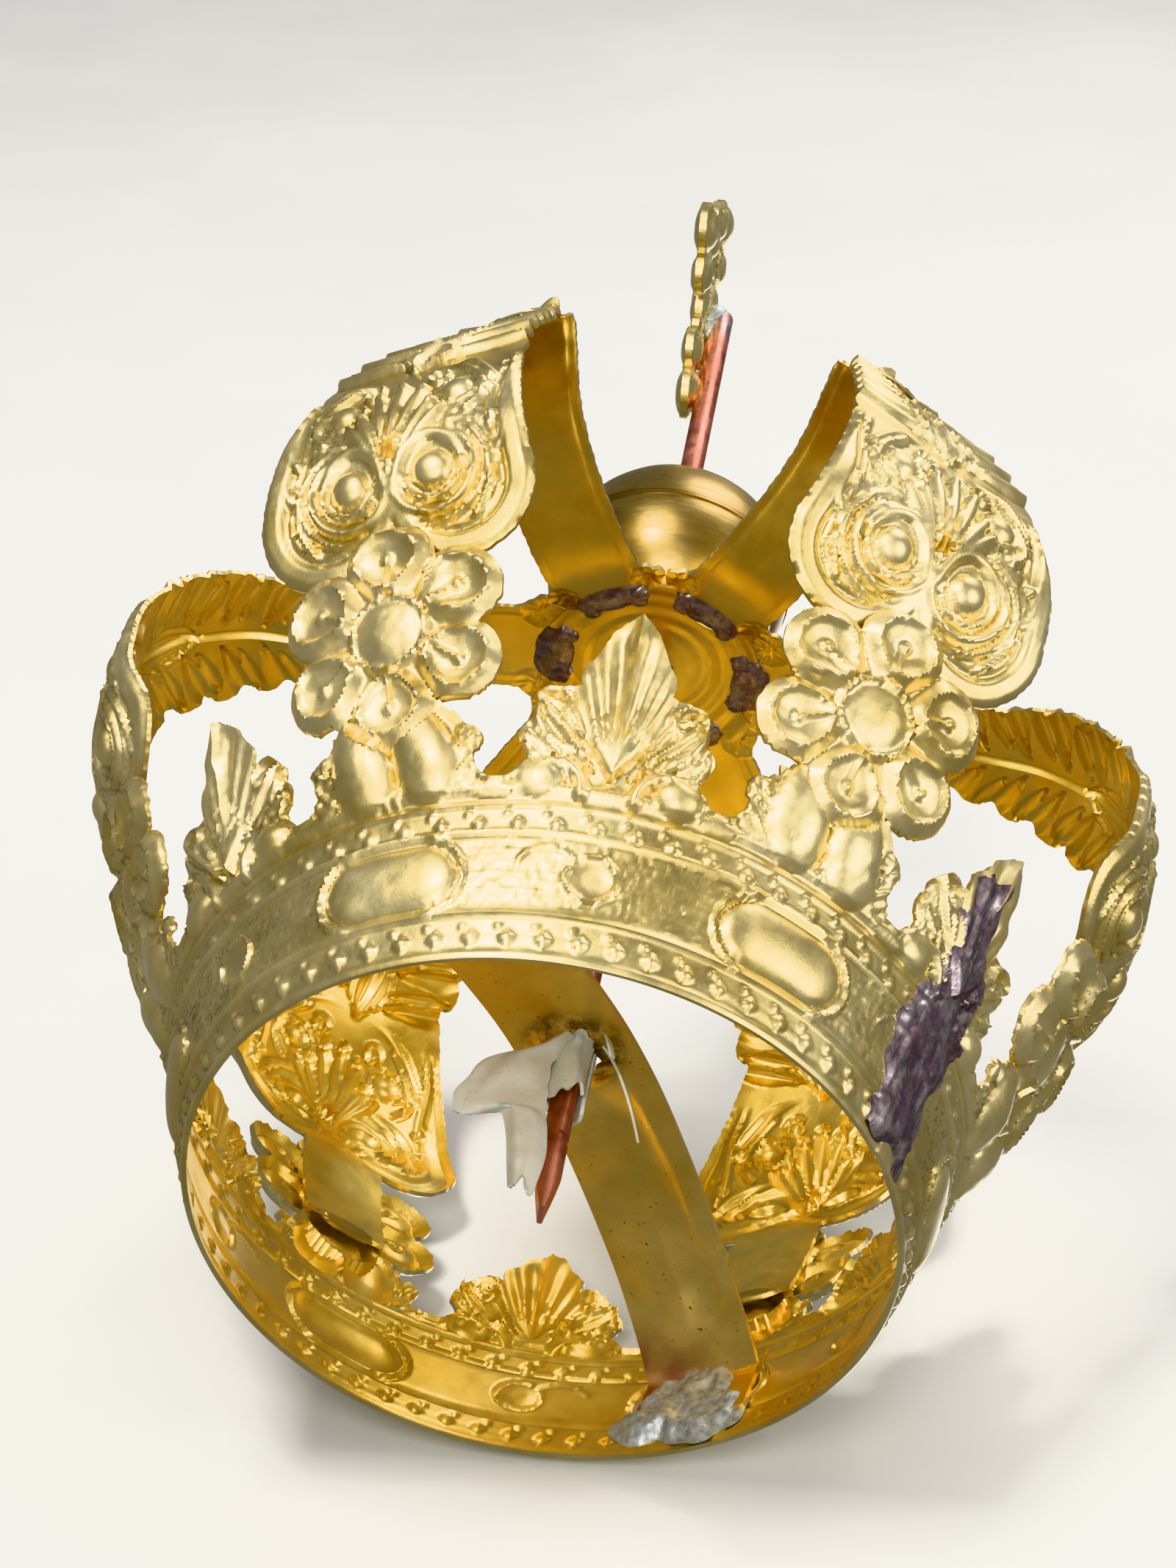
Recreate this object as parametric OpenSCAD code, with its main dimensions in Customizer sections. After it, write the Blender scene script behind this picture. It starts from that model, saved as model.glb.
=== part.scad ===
// Closed crown for a statue: a stamped brass circlet with a pierced crest, six soldered arches,
// a star-shaped centre dish, a two-part orb, and a cross on a copper rod. The rod runs down the
// middle, through a strap that bridges the circlet, and ends in a peg.
// Frame: origin at the centre of the rim, +Z up, front towards -Y. Azimuths turn from the front
// towards +X. Lengths are millimetres and angles are degrees.

/* [Circlet] */
// Outside radius of the circlet at its rim
band_r = 42; // [36:0.5:52]
// Height of the band, from the rim to the foot of the crest
band_h = 21; // [17:0.5:26]
// Outward lean of the band
band_lean = 15.5; // [10:0.5:20]
// Thickness of the stamped sheet
sheet_t = 0.6; // [0.4:0.05:0.8]
// Height of the raised border lines
rib_h = 0.4; // [0.2:0.05:0.6]
// Length of the large oval bosses
boss_w = 16; // [12:0.5:18]
// Height of the large oval bosses
boss_h = 7.6; // [6:0.2:8]
// Diameter of the small round bosses
stud_d = 6.4; // [4:0.2:8]
// How far the bosses stand out
boss_rise = 0.7; // [0.3:0.1:1.2]
// Azimuth of the lapped seam
seam_azimuth = 60; // [60:60:300]
// Width of the lap at the seam
lap_w = 7; // [4:0.5:10]

/* [Crest] */
// Outward lean of the flowers
flower_lean = 23; // [18:0.5:28]
// Outward lean of the palmettes and scrolls
palmette_lean = 15.5; // [12:0.5:20]
// Height of the flower's centre above the band, along the sheet
flower_rise = 21.7; // [18:0.5:26]
// Overall diameter of a flower
flower_d = 29; // [25:0.5:31]
// Diameter of one petal
petal_d = 10.4; // [9:0.2:11]
// Height of the palmette's tip above the band, along the sheet
palmette_h = 25; // [20:0.5:30]
// Width across the palmette's side lobes
palmette_w = 21; // [17:0.5:23]
// Outside radius of a scroll
scroll_r = 5.8; // [4.5:0.1:6.4]

/* [Arches] */
// How far the arch swells outside the flower's centre
arch_swell = 10; // [6:0.5:14]
// Height of the arch's inner end above the flower's centre
arch_rise = 57.5; // [48:0.5:70]
// How far the shoulder of a side or back arch lies below the arch's inner end
shoulder_drop = 11.5; // [8:0.5:16]
// How far the pointed tip of a front arch lies above the arch's inner end
peak_rise = 18.5; // [10:0.5:20]
// Radius at the pointed tip of a front arch
peak_r = 44.5; // [40:0.5:50]
// Width across the heart-shaped shield
heart_w = 36; // [30:0.5:42]
// Radius of each lobe of the shield
lobe_r = 9.6; // [9.2:0.1:10.4]
// Width of the leaf section at the shoulder
waist_w = 21; // [17:0.5:25]
// Width of the plain strip that runs to the dish
strip_w = 12.5; // [10:0.5:15]
// Width of the tab behind the flower
tab_w = 12; // [9:0.5:14]

/* [Dish and orb] */
// Radius of the dish to its points
dish_r = 15; // [13:0.5:19]
// Rise of the dome of the dish
dish_rise = 2; // [1:0.25:3]
// Diameter of the hole in the dish
dish_hole_d = 5.2; // [4.8:0.1:6.5]
// Outside radius of the orb
orb_r = 16; // [13:0.5:20]
// Wall of the orb
orb_t = 0.8; // [0.5:0.1:1.2]
// Radius of the solder fillet under the orb
orb_fillet_r = 5.4; // [4.4:0.1:6.4]

/* [Rod and cross] */
// Diameter of the copper rod
rod_d = 3.2; // [2.6:0.1:4]
// Height of the rod's top above the orb
rod_above = 44; // [36:1:54]
// Height of the rod's point above the rim plane
rod_tip_z = 1; // [0.5:0.5:4]
// Length of the pinched point
point_l = 6; // [4:0.5:8]
// Straight length of the peg above the point
peg_l = 5; // [4:0.5:6]
// Height of the cross
cross_h = 48; // [40:1:56]
// Width of the cross
cross_w = 35; // [30:1:42]
// Thickness of the cross
cross_t = 3; // [2:0.2:4]
// Radius of each lobe of the cross
cross_lobe_r = 3.8; // [3:0.1:4.4]
// Turn of the cross away from facing the front
cross_turn = 85; // [0:5:355]

/* [Crossbar strap] */
// Width of the crossbar strap
bar_w = 15; // [12:0.5:18]
// Thickness of the crossbar strap
bar_t = 0.8; // [0.5:0.1:1.2]
// Height of the top of the bow above the rim plane
bar_top_z = 29; // [25:0.5:34]
// Height where the bow meets the band
bar_wall_z = 14; // [11:0.5:16]
// Length of the tab turned down along the band
bar_tab_l = 9; // [6:0.5:10]
// Azimuth of the strap's back end
bar_azimuth = 150; // [90:60:270]

/* [Sleeve and solder] */
// Wall of the plastic sleeve
sleeve_wall = 1.2; // [0.8:0.1:1.5]
// Length of the sleeve above the strap
sleeve_above = 2.5; // [1:0.5:4]
// Length of the sleeve below the strap
sleeve_below = 12; // [8:0.5:13]
// Length of the sleeve's torn flap
flap_l = 11; // [8:0.5:13]
// Thickness of a solder pad
pad_t = 1; // [0.6:0.1:1.6]
// Width of the solder pads that hold the crossbar strap
pad_w = 18; // [16:0.5:22]
// Height of the solder pads that hold the crossbar strap
pad_h = 11.5; // [8:0.5:12]
// Diameter of the solder drops on the arches
drop_d = 8.6; // [7:0.2:10]
// Thickness of the solder drops on the arches
drop_t = 2.6; // [1.6:0.2:3]

/* [Fits] */
// Radial clearance of the rod in the orb and the sleeve
rod_gap = 0.08; // [0.02:0.01:0.1]
// Gap left where one sheet is laid on another and soldered
seat_gap = 0.02; // [0.01:0.01:0.1]

/* [Hidden] */
$fn = 64;
fine = 240;                                   // facets of a shallow dome

repeats = 6;
pitch = 360 / repeats;
reach = 30;                                   // how far a cutting outline passes a sheet
gilt = "gold";
tin = "slategray";

// The band: its outside and inside radius at height z
function band_out(z) = band_r + z * tan(band_lean);
function band_in(z) = band_out(z) - sheet_t;
function crest_out(z, lean) = band_out(band_h) + (z - band_h) * tan(lean);

// The flower and the arch foot behind it
flower_z = band_h + flower_rise * cos(flower_lean);
flower_r = crest_out(flower_z, flower_lean);
flower_top = flower_z + flower_d / 2 * cos(flower_lean);
crest_top = flower_top + 4;
petal_ring = (flower_d - petal_d) / 2;
foot_z = flower_z - flower_d / 4;
notch_z = flower_top - 0.5;
lobe_x = heart_w / 2 - lobe_r;
lobe_z = notch_z + sqrt(lobe_r * lobe_r - lobe_x * lobe_x);

// How far inside the flower's outer face a flat sheet of width w lies when it touches the flower
function seat_in(z, w) =
    let (r = crest_out(z, flower_lean) - sheet_t)
    sheet_t + r - sqrt(r * r - w * w / 4) + seat_gap;
foot_in = seat_in(foot_z, tab_w);

// The dish, the orb and the rod stack up from the arches' inner ends
dish_z = flower_z + arch_rise;
dome_r = (dish_r * dish_r + dish_rise * dish_rise) / (2 * dish_rise);
dome_z = dish_z + dish_rise - dome_r;
function dish_top(r) = dome_z + sqrt(dome_r * dome_r - r * r);
bite_r = dish_r * 0.43;
bite_at = dish_r * 1.13;
arch_end_r = dish_r * 0.78;
shoulder_z = dish_z - shoulder_drop;
shoulder_r = flower_r + arch_swell - 5;
shield_h = shoulder_z - lobe_z;
peak_z = dish_z + peak_rise;
peak_h = peak_z - lobe_z;
lean_in = flower_r + arch_swell - peak_r;
rod_r = rod_d / 2;
hole_r = rod_r + rod_gap;
orb_z = dish_top(dish_hole_d / 2) + sqrt(orb_r * orb_r - dish_hole_d * dish_hole_d / 4);
rod_top = orb_z + orb_r + rod_above;
peg_z = rod_tip_z + point_l;
// The groove left where the sleeve was stripped off, above the peg
nick_w = 1.4;
nick_d = 0.25;
cross_off = rod_r + cross_t / 2;

// The crossbar's bow is an arc through its top and the two places where it meets the band
bar_span = band_in(bar_wall_z);
bar_drop = bar_top_z - bar_wall_z;
bow_r = (bar_span * bar_span + bar_drop * bar_drop) / (2 * bar_drop);
bow_z = bar_top_z - bow_r;
sleeve_r = hole_r + sleeve_wall;
sleeve_z = bar_top_z - bar_t - sleeve_below;

// Shared shapes

// A conical shell of the sheet between two heights
module cone_shell(z0, z1, lean, out = 0, thick = sheet_t) {
    r0 = crest_out(z0, lean) + out;
    r1 = crest_out(z1, lean) + out;
    rotate_extrude() polygon([[r0 - thick, z0], [r0, z0], [r1, z1], [r1 - thick, z1]]);
}

// Cuts the outline out along the sheet's normal; the outline's origin is on the band's top edge
module radial_prism(phi, z, lean) {
    rotate([0, 0, phi])
        translate([0, -crest_out(z, lean), z])
            rotate([90 + lean, 0, 0])
                translate([0, 0, -reach / 2]) linear_extrude(reach) children();
}

module crest_piece(phi, lean) {
    intersection() {
        cone_shell(band_h, crest_top, lean);
        radial_prism(phi, band_h, lean) children();
    }
}

// A disc with two bulging faces
module lens(d, t) {
    r = (d * d / 4 + t * t / 4) / t;
    intersection() {
        translate([0, 0, t / 2 - r]) sphere(r, $fn = fine);
        translate([0, 0, r - t / 2]) sphere(r, $fn = fine);
    }
}

// The same shape at x and at -x
module pair(x) {
    for (side = [-1, 1]) translate([side * x, 0]) children();
}

// The circlet

module flower_outline() {
    translate([0, flower_rise]) {
        circle(petal_ring);
        for (a = [0 : 60 : 300]) rotate(a) translate([0, petal_ring]) circle(d = petal_d);
    }
    translate([-5.5, -1]) square([11, flower_rise - petal_ring]);
    translate([0, 5.5]) pair(5.2) circle(3.6);
}

module palmette_outline() {
    lobe = palmette_w / 5;
    leaf = palmette_w / 4;
    polygon([
        [-leaf, -1], [leaf, -1], [leaf * 1.1, palmette_h * 0.4], [leaf * 0.9, palmette_h * 0.68],
        [0, palmette_h], [-leaf * 0.9, palmette_h * 0.68], [-leaf * 1.1, palmette_h * 0.4]
    ]);
    translate([0, palmette_h * 0.42]) pair(palmette_w / 2 - lobe) circle(lobe);
    translate([0, 1.5]) pair(palmette_w / 2 - 2) circle(3);
}

module scroll_outline() {
    difference() {
        translate([0, scroll_r - 1]) circle(scroll_r);
        translate([0, scroll_r - 1]) circle(scroll_r - 2.6);
        translate([-scroll_r, scroll_r + 0.6]) square([2 * scroll_r, scroll_r]);
    }
    translate([0, scroll_r + 0.6]) pair(scroll_r - 1.3) circle(2.1);
}

module rounded_slot(w, h) {
    square([w - h, h], center = true);
    pair((w - h) / 2) circle(d = h);
}

module band_body() {
    ribs = [5.6, 15.8, 19.2];
    outer = [for (z = ribs, step = [[-0.6, 0], [-0.2, 1], [0.2, 1], [0.6, 0]])
        [band_out(z * band_h / 21 + step[0]) + step[1] * rib_h, z * band_h / 21 + step[0]]];
    rotate_extrude() polygon(concat(
        [[band_in(0), 0], [band_out(0), 0]], outer, [[band_out(band_h), band_h], [band_in(band_h), band_h]]));
}

module bosses() {
    mid_z = band_h / 2;
    intersection() {
        cone_shell(0, band_h, band_lean, boss_rise, boss_rise + sheet_t / 2);
        for (k = [0 : repeats - 1]) {
            radial_prism((k + 0.5) * pitch, mid_z, band_lean) rounded_slot(boss_w, boss_h);
            if (k * pitch != seam_azimuth) radial_prism(k * pitch, mid_z, band_lean) circle(d = stud_d);
        }
    }
}

module seam_lap() {
    intersection() {
        cone_shell(0, band_h, band_lean, sheet_t, sheet_t + rib_h / 2);
        radial_prism(seam_azimuth, band_h / 2, band_lean) square([lap_w, band_h * 2], center = true);
    }
}

module circlet() {
    color(gilt) union() {
        band_body();
        bosses();
        seam_lap();
        for (k = [0 : repeats - 1]) {
            crest_piece((k + 0.5) * pitch, flower_lean) flower_outline();
            crest_piece(k * pitch, palmette_lean) palmette_outline();
            for (side = [-1, 1])
                crest_piece((k + side * 0.25) * pitch, palmette_lean) scroll_outline();
        }
    }
}

// The arches

// One point of a Catmull-Rom curve through p, after point i
function curve_point(p, i, t) =
    let (
        last = len(p) - 1,
        a = p[max(i - 1, 0)], b = p[i], c = p[i + 1], d = p[min(i + 2, last)]
    )
    0.5 * (2 * b + (c - a) * t + (2 * a - 5 * b + 4 * c - d) * t * t + (3 * b - a - 3 * c + d) * t * t * t);
function curve(p, n) = concat(
    [for (i = [0 : len(p) - 2], k = [0 : n - 1]) curve_point(p, i, k / n)], [p[len(p) - 1]]);

// The side normal that points into the crown, at point i of a path
function inward(p, i) =
    let (d = p[min(i + 1, len(p) - 1)] - p[max(i - 1, 0)])
    [-d[1], d[0]] / norm(d);

// Side view of an arch: radius and height of its outer surface, from the foot to the dish
behind_petals_z = flower_z + flower_d * 0.36;
behind_petals_w = 2 * petal_ring + petal_d / 2;
foot_points = [
    [crest_out(foot_z, flower_lean) - foot_in, foot_z],
    [flower_r - foot_in, flower_z],
    [crest_out(behind_petals_z, flower_lean) - seat_in(behind_petals_z, behind_petals_w), behind_petals_z]
];
dish_point = [arch_end_r, dish_top(arch_end_r) + sheet_t + seat_gap];

// The side and back arches turn in at a low shoulder and climb a little to the dish
low_path = curve(concat(foot_points, [
    [flower_r + arch_swell - 1.2, lobe_z + shield_h * 0.1],
    [flower_r + arch_swell, lobe_z + shield_h * 0.39],
    [flower_r + arch_swell - 1, lobe_z + shield_h * 0.75],
    [shoulder_r, shoulder_z + 0.5],
    [shoulder_r - 8.5, shoulder_z + 5],
    [shoulder_r - 20, shoulder_z + 6.5],
    [arch_end_r + 11, dish_point[1] - 1.6],
    dish_point
]), 5);

// The two front arches climb to a tip and fall from it to the dish
peaked_path = curve(concat(foot_points, [
    [flower_r + arch_swell - 1.7, lobe_z + peak_h * 0.05],
    [flower_r + arch_swell, lobe_z + peak_h * 0.21],
    [peak_r + lean_in * 0.87, lobe_z + peak_h * 0.44],
    [peak_r + lean_in * 0.62, lobe_z + peak_h * 0.63],
    [peak_r + lean_in * 0.3, lobe_z + peak_h * 0.83],
    [peak_r, peak_z],
    [peak_r - 6.5, dish_point[1] + peak_rise * 0.31],
    [peak_r - 14.5, dish_point[1]],
    [arch_end_r + 8.3, dish_point[1] - 2.5],
    dish_point
]), 5);

module arch_sheet(path) {
    inner = [for (i = [len(path) - 1 : -1 : 0]) path[i] + sheet_t * inward(path, i)];
    rotate([90, 0, -90]) linear_extrude(heart_w + 2, center = true) polygon(concat(path, inner));
}

// Front view of a shield that narrows to the width top_w at the height top_z
module heart_outline(top_z, top_w) {
    steps = 8;
    side = [for (k = [0 : steps])
        let (t = k / steps)
        [heart_w / 2 - (heart_w - top_w) / 2 * pow(t, 1.7), lobe_z + (top_z - lobe_z) * t]];
    polygon(concat(side, [for (k = [steps : -1 : 0]) [-side[k][0], side[k][1]]]));
    translate([0, lobe_z]) pair(lobe_x) circle(lobe_r);
    translate([-tab_w / 2, foot_z]) square([tab_w, lobe_z - foot_z]);
}

// Leaf curls at the inner end of a strip, drawn in plan with the centre of the crown at the origin
module end_curls() {
    translate([0, -arch_end_r - 3]) pair(strip_w / 2 - 0.6) circle(2.2);
}

// Plan of a low arch above the shoulder
module leafy_strip_outline() {
    leaf_end = shoulder_r - 22;
    half = waist_w / 2;
    slope = (half - strip_w / 2) / (shoulder_r - leaf_end);
    polygon([
        [-half, -shoulder_r - 9], [half, -shoulder_r - 9], [half, -shoulder_r],
        [strip_w / 2, -leaf_end], [strip_w / 2, -arch_end_r], [-strip_w / 2, -arch_end_r],
        [-strip_w / 2, -leaf_end], [-half, -shoulder_r]
    ]);
    for (k = [0 : 3])
        translate([0, -shoulder_r + 2 + k * 5.5]) pair(half - 0.6 - slope * k * 5.5) circle(2.4);
    end_curls();
}

// Plan of a front arch inside its tip
module plain_strip_outline() {
    translate([-strip_w / 2, -peak_r - 1]) square([strip_w, peak_r + 1 - arch_end_r]);
    end_curls();
}

module low_arch(k) {
    color(gilt) rotate([0, 0, (k + 0.5) * pitch]) intersection() {
        arch_sheet(low_path);
        union() {
            rotate([90, 0, 0]) linear_extrude(flower_r + reach) heart_outline(shoulder_z, waist_w);
            translate([0, 0, shoulder_z]) linear_extrude(reach) leafy_strip_outline();
        }
    }
}

module front_arch(k) {
    color(gilt) rotate([0, 0, (k + 0.5) * pitch]) intersection() {
        arch_sheet(peaked_path);
        union() {
            translate([0, -peak_r, 0]) rotate([90, 0, 0]) linear_extrude(reach) heart_outline(peak_z + 1, strip_w);
            translate([0, 0, dish_z - reach / 2]) linear_extrude(reach * 2) plain_strip_outline();
        }
    }
}

// The centre dish and the orb

module centre_dish() {
    color("goldenrod") difference() {
        translate([0, 0, dome_z]) sphere(dome_r, $fn = fine * 2);
        translate([0, 0, dome_z]) sphere(dome_r - sheet_t, $fn = fine * 2);
        translate([0, 0, dish_z - dome_r * 2]) cylinder(r = dome_r * 2, h = dome_r * 2);
        translate([0, 0, dish_z - 1]) cylinder(d = dish_hole_d, h = dish_rise + 2);
        for (k = [0 : repeats - 1])
            rotate([0, 0, (k + 0.5) * pitch])
                translate([0, -bite_at, dish_z - 1]) cylinder(r = bite_r, h = dish_rise + 2);
    }
}

// Half of the orb; side is 1 for the upper half and -1 for the lower
module orb_half(side) {
    color("darkgoldenrod") difference() {
        translate([0, 0, orb_z]) sphere(orb_r);
        translate([0, 0, orb_z]) sphere(orb_r - orb_t);
        translate([0, 0, orb_z - side * orb_r * 1.5]) cube(orb_r * 3, center = true);
        translate([0, 0, orb_z - orb_r * 1.5]) cylinder(r = hole_r, h = orb_r * 3);
    }
}

module orb_solder() {
    color(tin) difference() {
        translate([0, 0, dish_z]) cylinder(r = orb_fillet_r, h = dish_rise + 2);
        translate([0, 0, dome_z]) sphere(dome_r, $fn = fine * 2);
        translate([0, 0, orb_z]) sphere(orb_r, $fn = fine);
        translate([0, 0, dish_z - 1]) cylinder(d = dish_hole_d, h = dish_rise + 4);
    }
}

// The rod and the cross

module finial_rod() {
    pinch = atan((rod_r - 0.3) / point_l);
    color("peru") difference() {
        translate([0, 0, rod_tip_z]) cylinder(r = rod_r, h = rod_top - rod_tip_z);
        for (turn = [0, 180])
            rotate([0, 0, turn])
                translate([rod_r, -rod_d, peg_z]) rotate([0, 180 - pinch, 0])
                    translate([-rod_d, 0, 0]) cube([rod_d, rod_d * 2, point_l * 2]);
        translate([0, 0, peg_z + peg_l]) difference() {
            cylinder(r = rod_d, h = nick_w);
            translate([0, 0, -1]) cylinder(r = rod_r - nick_d, h = nick_w + 2);
        }
    }
}

module cross_outline() {
    neck = cross_lobe_r * 1.3;
    square([cross_w - 3 * cross_lobe_r, neck], center = true);
    square([neck, cross_h - 3 * cross_lobe_r], center = true);
    circle(cross_lobe_r * 1.5);
    for (arm = [[0, cross_h], [90, cross_w], [180, cross_h], [270, cross_w]])
        rotate(arm[0]) {
            translate([0, arm[1] / 2 - cross_lobe_r]) circle(cross_lobe_r);
            for (side = [-1, 1])
                translate([side * cross_lobe_r * 1.05, arm[1] / 2 - 2.3 * cross_lobe_r]) circle(cross_lobe_r * 0.8);
        }
}

module finial_cross() {
    color(gilt) rotate([0, 0, cross_turn])
        translate([0, cross_off, rod_top + 2]) rotate([90, 0, 0])
            linear_extrude(cross_t, center = true) cross_outline();
}

module cross_solder() {
    color(tin) rotate([0, 0, cross_turn]) translate([0, rod_r * 0.6, rod_top - 0.6]) sphere(rod_r * 1.3);
}

// The crossbar strap and the sleeve

// The space inside the band, drawn in by gap
module band_inside(gap) {
    top = bar_top_z + 2;
    cylinder(r1 = band_in(0) - gap, r2 = band_in(top) - gap, h = top);
}

module crossbar_strap() {
    color("goldenrod") difference() {
        intersection() {
            band_inside(seat_gap);
            rotate([0, 0, bar_azimuth]) union() {
                translate([0, 0, bow_z]) rotate([0, 90, 0]) difference() {
                    cylinder(r = bow_r, h = bar_w, center = true);
                    cylinder(r = bow_r - bar_t, h = bar_w + 2, center = true);
                    translate([0, -bow_r * 2, -bar_w]) cube([bow_r * 2, bow_r * 4, bar_w * 2]);
                }
                difference() {
                    translate([-bar_w / 2, -band_r * 2, bar_wall_z - bar_tab_l])
                        cube([bar_w, band_r * 4, bar_tab_l]);
                    band_inside(bar_t);
                }
            }
        }
        rotate([0, 0, bar_azimuth]) translate([-sleeve_r, -sleeve_r, bar_top_z - 5])
            cube([sleeve_r * 2, sleeve_r * 2, 10]);
    }
}

module strap_solder(azimuth) {
    color(tin) difference() {
        intersection() {
            band_inside(seat_gap / 2);
            radial_prism(azimuth, bar_wall_z - pad_h / 2 - 1, band_lean) rounded_slot(pad_w, pad_h);
        }
        band_inside(bar_t + pad_t);
        crossbar_strap();
        translate([0, 0, -1]) cylinder(r = band_r, h = 2);
    }
}

module wire_sleeve() {
    color("ivory") difference() {
        union() {
            translate([0, 0, sleeve_z]) cylinder(r = sleeve_r, h = sleeve_below + bar_t + sleeve_above);
            rotate([0, 0, 200]) translate([0, -sleeve_wall / 2, sleeve_z])
                cube([flap_l, sleeve_wall, sleeve_below * 0.6]);
        }
        translate([0, 0, sleeve_z - 1]) cylinder(r = hole_r, h = sleeve_below + sleeve_above + 5);
        rotate([0, 0, -20]) translate([0, -1, sleeve_z - 1]) cube([flap_l, 2, sleeve_below - 2]);
    }
}

// The remaining solder

module seam_solder() {
    layer = sheet_t + pad_t;
    color("dimgray") difference() {
        intersection() {
            union() {
                cone_shell(1, band_h, band_lean, layer, layer);
                cone_shell(band_h, band_h + palmette_h * 0.7, palmette_lean, layer, layer);
            }
            radial_prism(seam_azimuth, band_h, band_lean) polygon([
                [-6, -band_h], [7, -band_h], [6, -6], [3, palmette_h * 0.6], [-2, palmette_h * 0.65], [-5, -4]
            ]);
        }
        band_body();
        seam_lap();
    }
}

module arch_foot_solder() {
    color(tin) for (k = [0 : repeats - 1])
        rotate([0, 0, (k + 0.5) * pitch])
            translate([0, -crest_out(foot_z, flower_lean) + foot_in + sheet_t, foot_z])
                rotate([90 + flower_lean, 0, 0]) lens(drop_d, drop_t);
}

module arch_top_solder() {
    drop_at = arch_end_r + drop_d / 6;
    color("dimgray") for (k = [0 : repeats - 1])
        rotate([0, 0, (k + 0.5) * pitch])
            translate([0, -drop_at, dish_top(drop_at) - sheet_t / 2]) lens(drop_d, drop_t);
}

circlet();
seam_solder();
front_arch(0);  // arch_front_right
low_arch(1);  // arch_right
low_arch(2);  // arch_back_right
low_arch(3);  // arch_back_left
low_arch(4);  // arch_left
front_arch(5);  // arch_front_left
arch_foot_solder();
arch_top_solder();
centre_dish();
orb_half(-1);  // orb_lower_shell
orb_half(1);  // orb_upper_shell
orb_solder();
crossbar_strap();
strap_solder(bar_azimuth + 180);  // strap_solder_front
strap_solder(bar_azimuth);  // strap_solder_back
wire_sleeve();
finial_rod();
finial_cross();
cross_solder();
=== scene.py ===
"""Closed statue crown in stamped gilt brass, seen from below the rim. Lengths in this file are
millimetres until a mesh is made; Blender gets metres. Azimuths turn from the front (-Y) towards +X."""
import math

import bpy
import numpy as np
from mathutils import Matrix, Vector


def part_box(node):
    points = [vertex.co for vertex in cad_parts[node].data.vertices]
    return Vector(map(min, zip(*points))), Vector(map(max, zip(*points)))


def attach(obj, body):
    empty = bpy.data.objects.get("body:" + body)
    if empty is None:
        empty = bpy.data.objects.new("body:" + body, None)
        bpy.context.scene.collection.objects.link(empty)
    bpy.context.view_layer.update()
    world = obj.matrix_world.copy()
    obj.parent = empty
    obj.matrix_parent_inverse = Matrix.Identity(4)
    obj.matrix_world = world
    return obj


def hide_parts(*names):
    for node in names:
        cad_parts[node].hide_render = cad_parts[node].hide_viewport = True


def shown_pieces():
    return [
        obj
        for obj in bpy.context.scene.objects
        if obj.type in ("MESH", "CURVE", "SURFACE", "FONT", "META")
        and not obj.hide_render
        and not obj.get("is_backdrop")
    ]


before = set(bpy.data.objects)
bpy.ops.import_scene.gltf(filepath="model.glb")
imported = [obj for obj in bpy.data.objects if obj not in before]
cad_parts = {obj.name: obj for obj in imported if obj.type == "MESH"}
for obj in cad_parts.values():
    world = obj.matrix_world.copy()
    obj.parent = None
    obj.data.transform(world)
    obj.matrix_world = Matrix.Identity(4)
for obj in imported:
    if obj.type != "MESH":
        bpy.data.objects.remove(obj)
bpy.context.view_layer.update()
MM = 0.001

# --- sizes shared with the CAD model -------------------------------------------------------------
REPEATS = 6
PITCH = 2 * math.pi / REPEATS
SHEET = 0.6
RIM_R = 42.0
BAND_H = 21.0
BAND_LEAN = math.radians(15.5)
FLOWER_LEAN = math.radians(23.0)
FLOWER_V = 21.7                      # flower centre above the band, along the sheet
PETALS = 6
PETAL_R = 5.2
PETAL_RING = 9.3
DISC_R = 4.6
PALMETTE_H = 25.0
SCROLL_R = 5.8
BAND_SLANT = BAND_H / math.cos(BAND_LEAN)
BAND_TOP_R = RIM_R + BAND_H * math.tan(BAND_LEAN)
CREST_SLANT = 35.0
LOBE_Z = 58.45
SHOULDER_Z = 86.97
SHOULDER_R = 61.3
FLOWER_Z = BAND_H + FLOWER_V * math.cos(FLOWER_LEAN)
FLOWER_R = BAND_TOP_R + FLOWER_V * math.sin(FLOWER_LEAN)
FOOT_Z = 33.72
BEHIND_Z = 51.41                     # height where an arch clears the upper petals
PEAK_Z = 116.97
PEAK_R = 44.5
HEART_W = 36.0
LOBE_R = 9.6
LOBE_X = HEART_W / 2 - LOBE_R
WAIST_W = 21.0
STRIP_W = 12.5
TAB_W = 12.0
DISH_R = 15.0
DOME_R = 57.25
DOME_Z = 43.22
BITE_R = 6.45
BITE_AT = 16.95
HOLE_R = 2.6
ARCH_END_R = 11.7
ORB_R = 16.0
ORB_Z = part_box("orb_upper_shell")[0].z / MM
ORB_WALL = 0.8
ROD_R = 1.6
ROD_TIP_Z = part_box("finial_rod")[0].z / MM
ROD_TOP_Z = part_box("finial_rod")[1].z / MM
CROSS_OFF = 3.1
CROSS_TURN = math.radians(85)
BAR_AZIMUTH = math.radians(150)
BAR_W = 15.0
BAR_T = 0.8
BAR_TOP_Z = 29.0
BAR_WALL_Z = 14.0
BOW_R = 75.85
BOW_Z = -46.85
SLEEVE_Z = 16.2
FLAP_COS = 0.9948                    # direction that the sleeve's torn flap faces
FLAP_SIN = 0.1017


# --- small numeric tools -------------------------------------------------------------------------
def smooth(x, lo, hi):
    """0 below lo, 1 above hi, and a smooth ramp between."""
    t = np.clip((x - lo) / (hi - lo), 0, 1)
    return t * t * (3 - 2 * t)


def ridge(d, width, height):
    """A rounded line of that full width: d is the distance from its middle."""
    return height * np.clip(1 - (2 * d / width) ** 2, 0, None) ** 0.75


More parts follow.
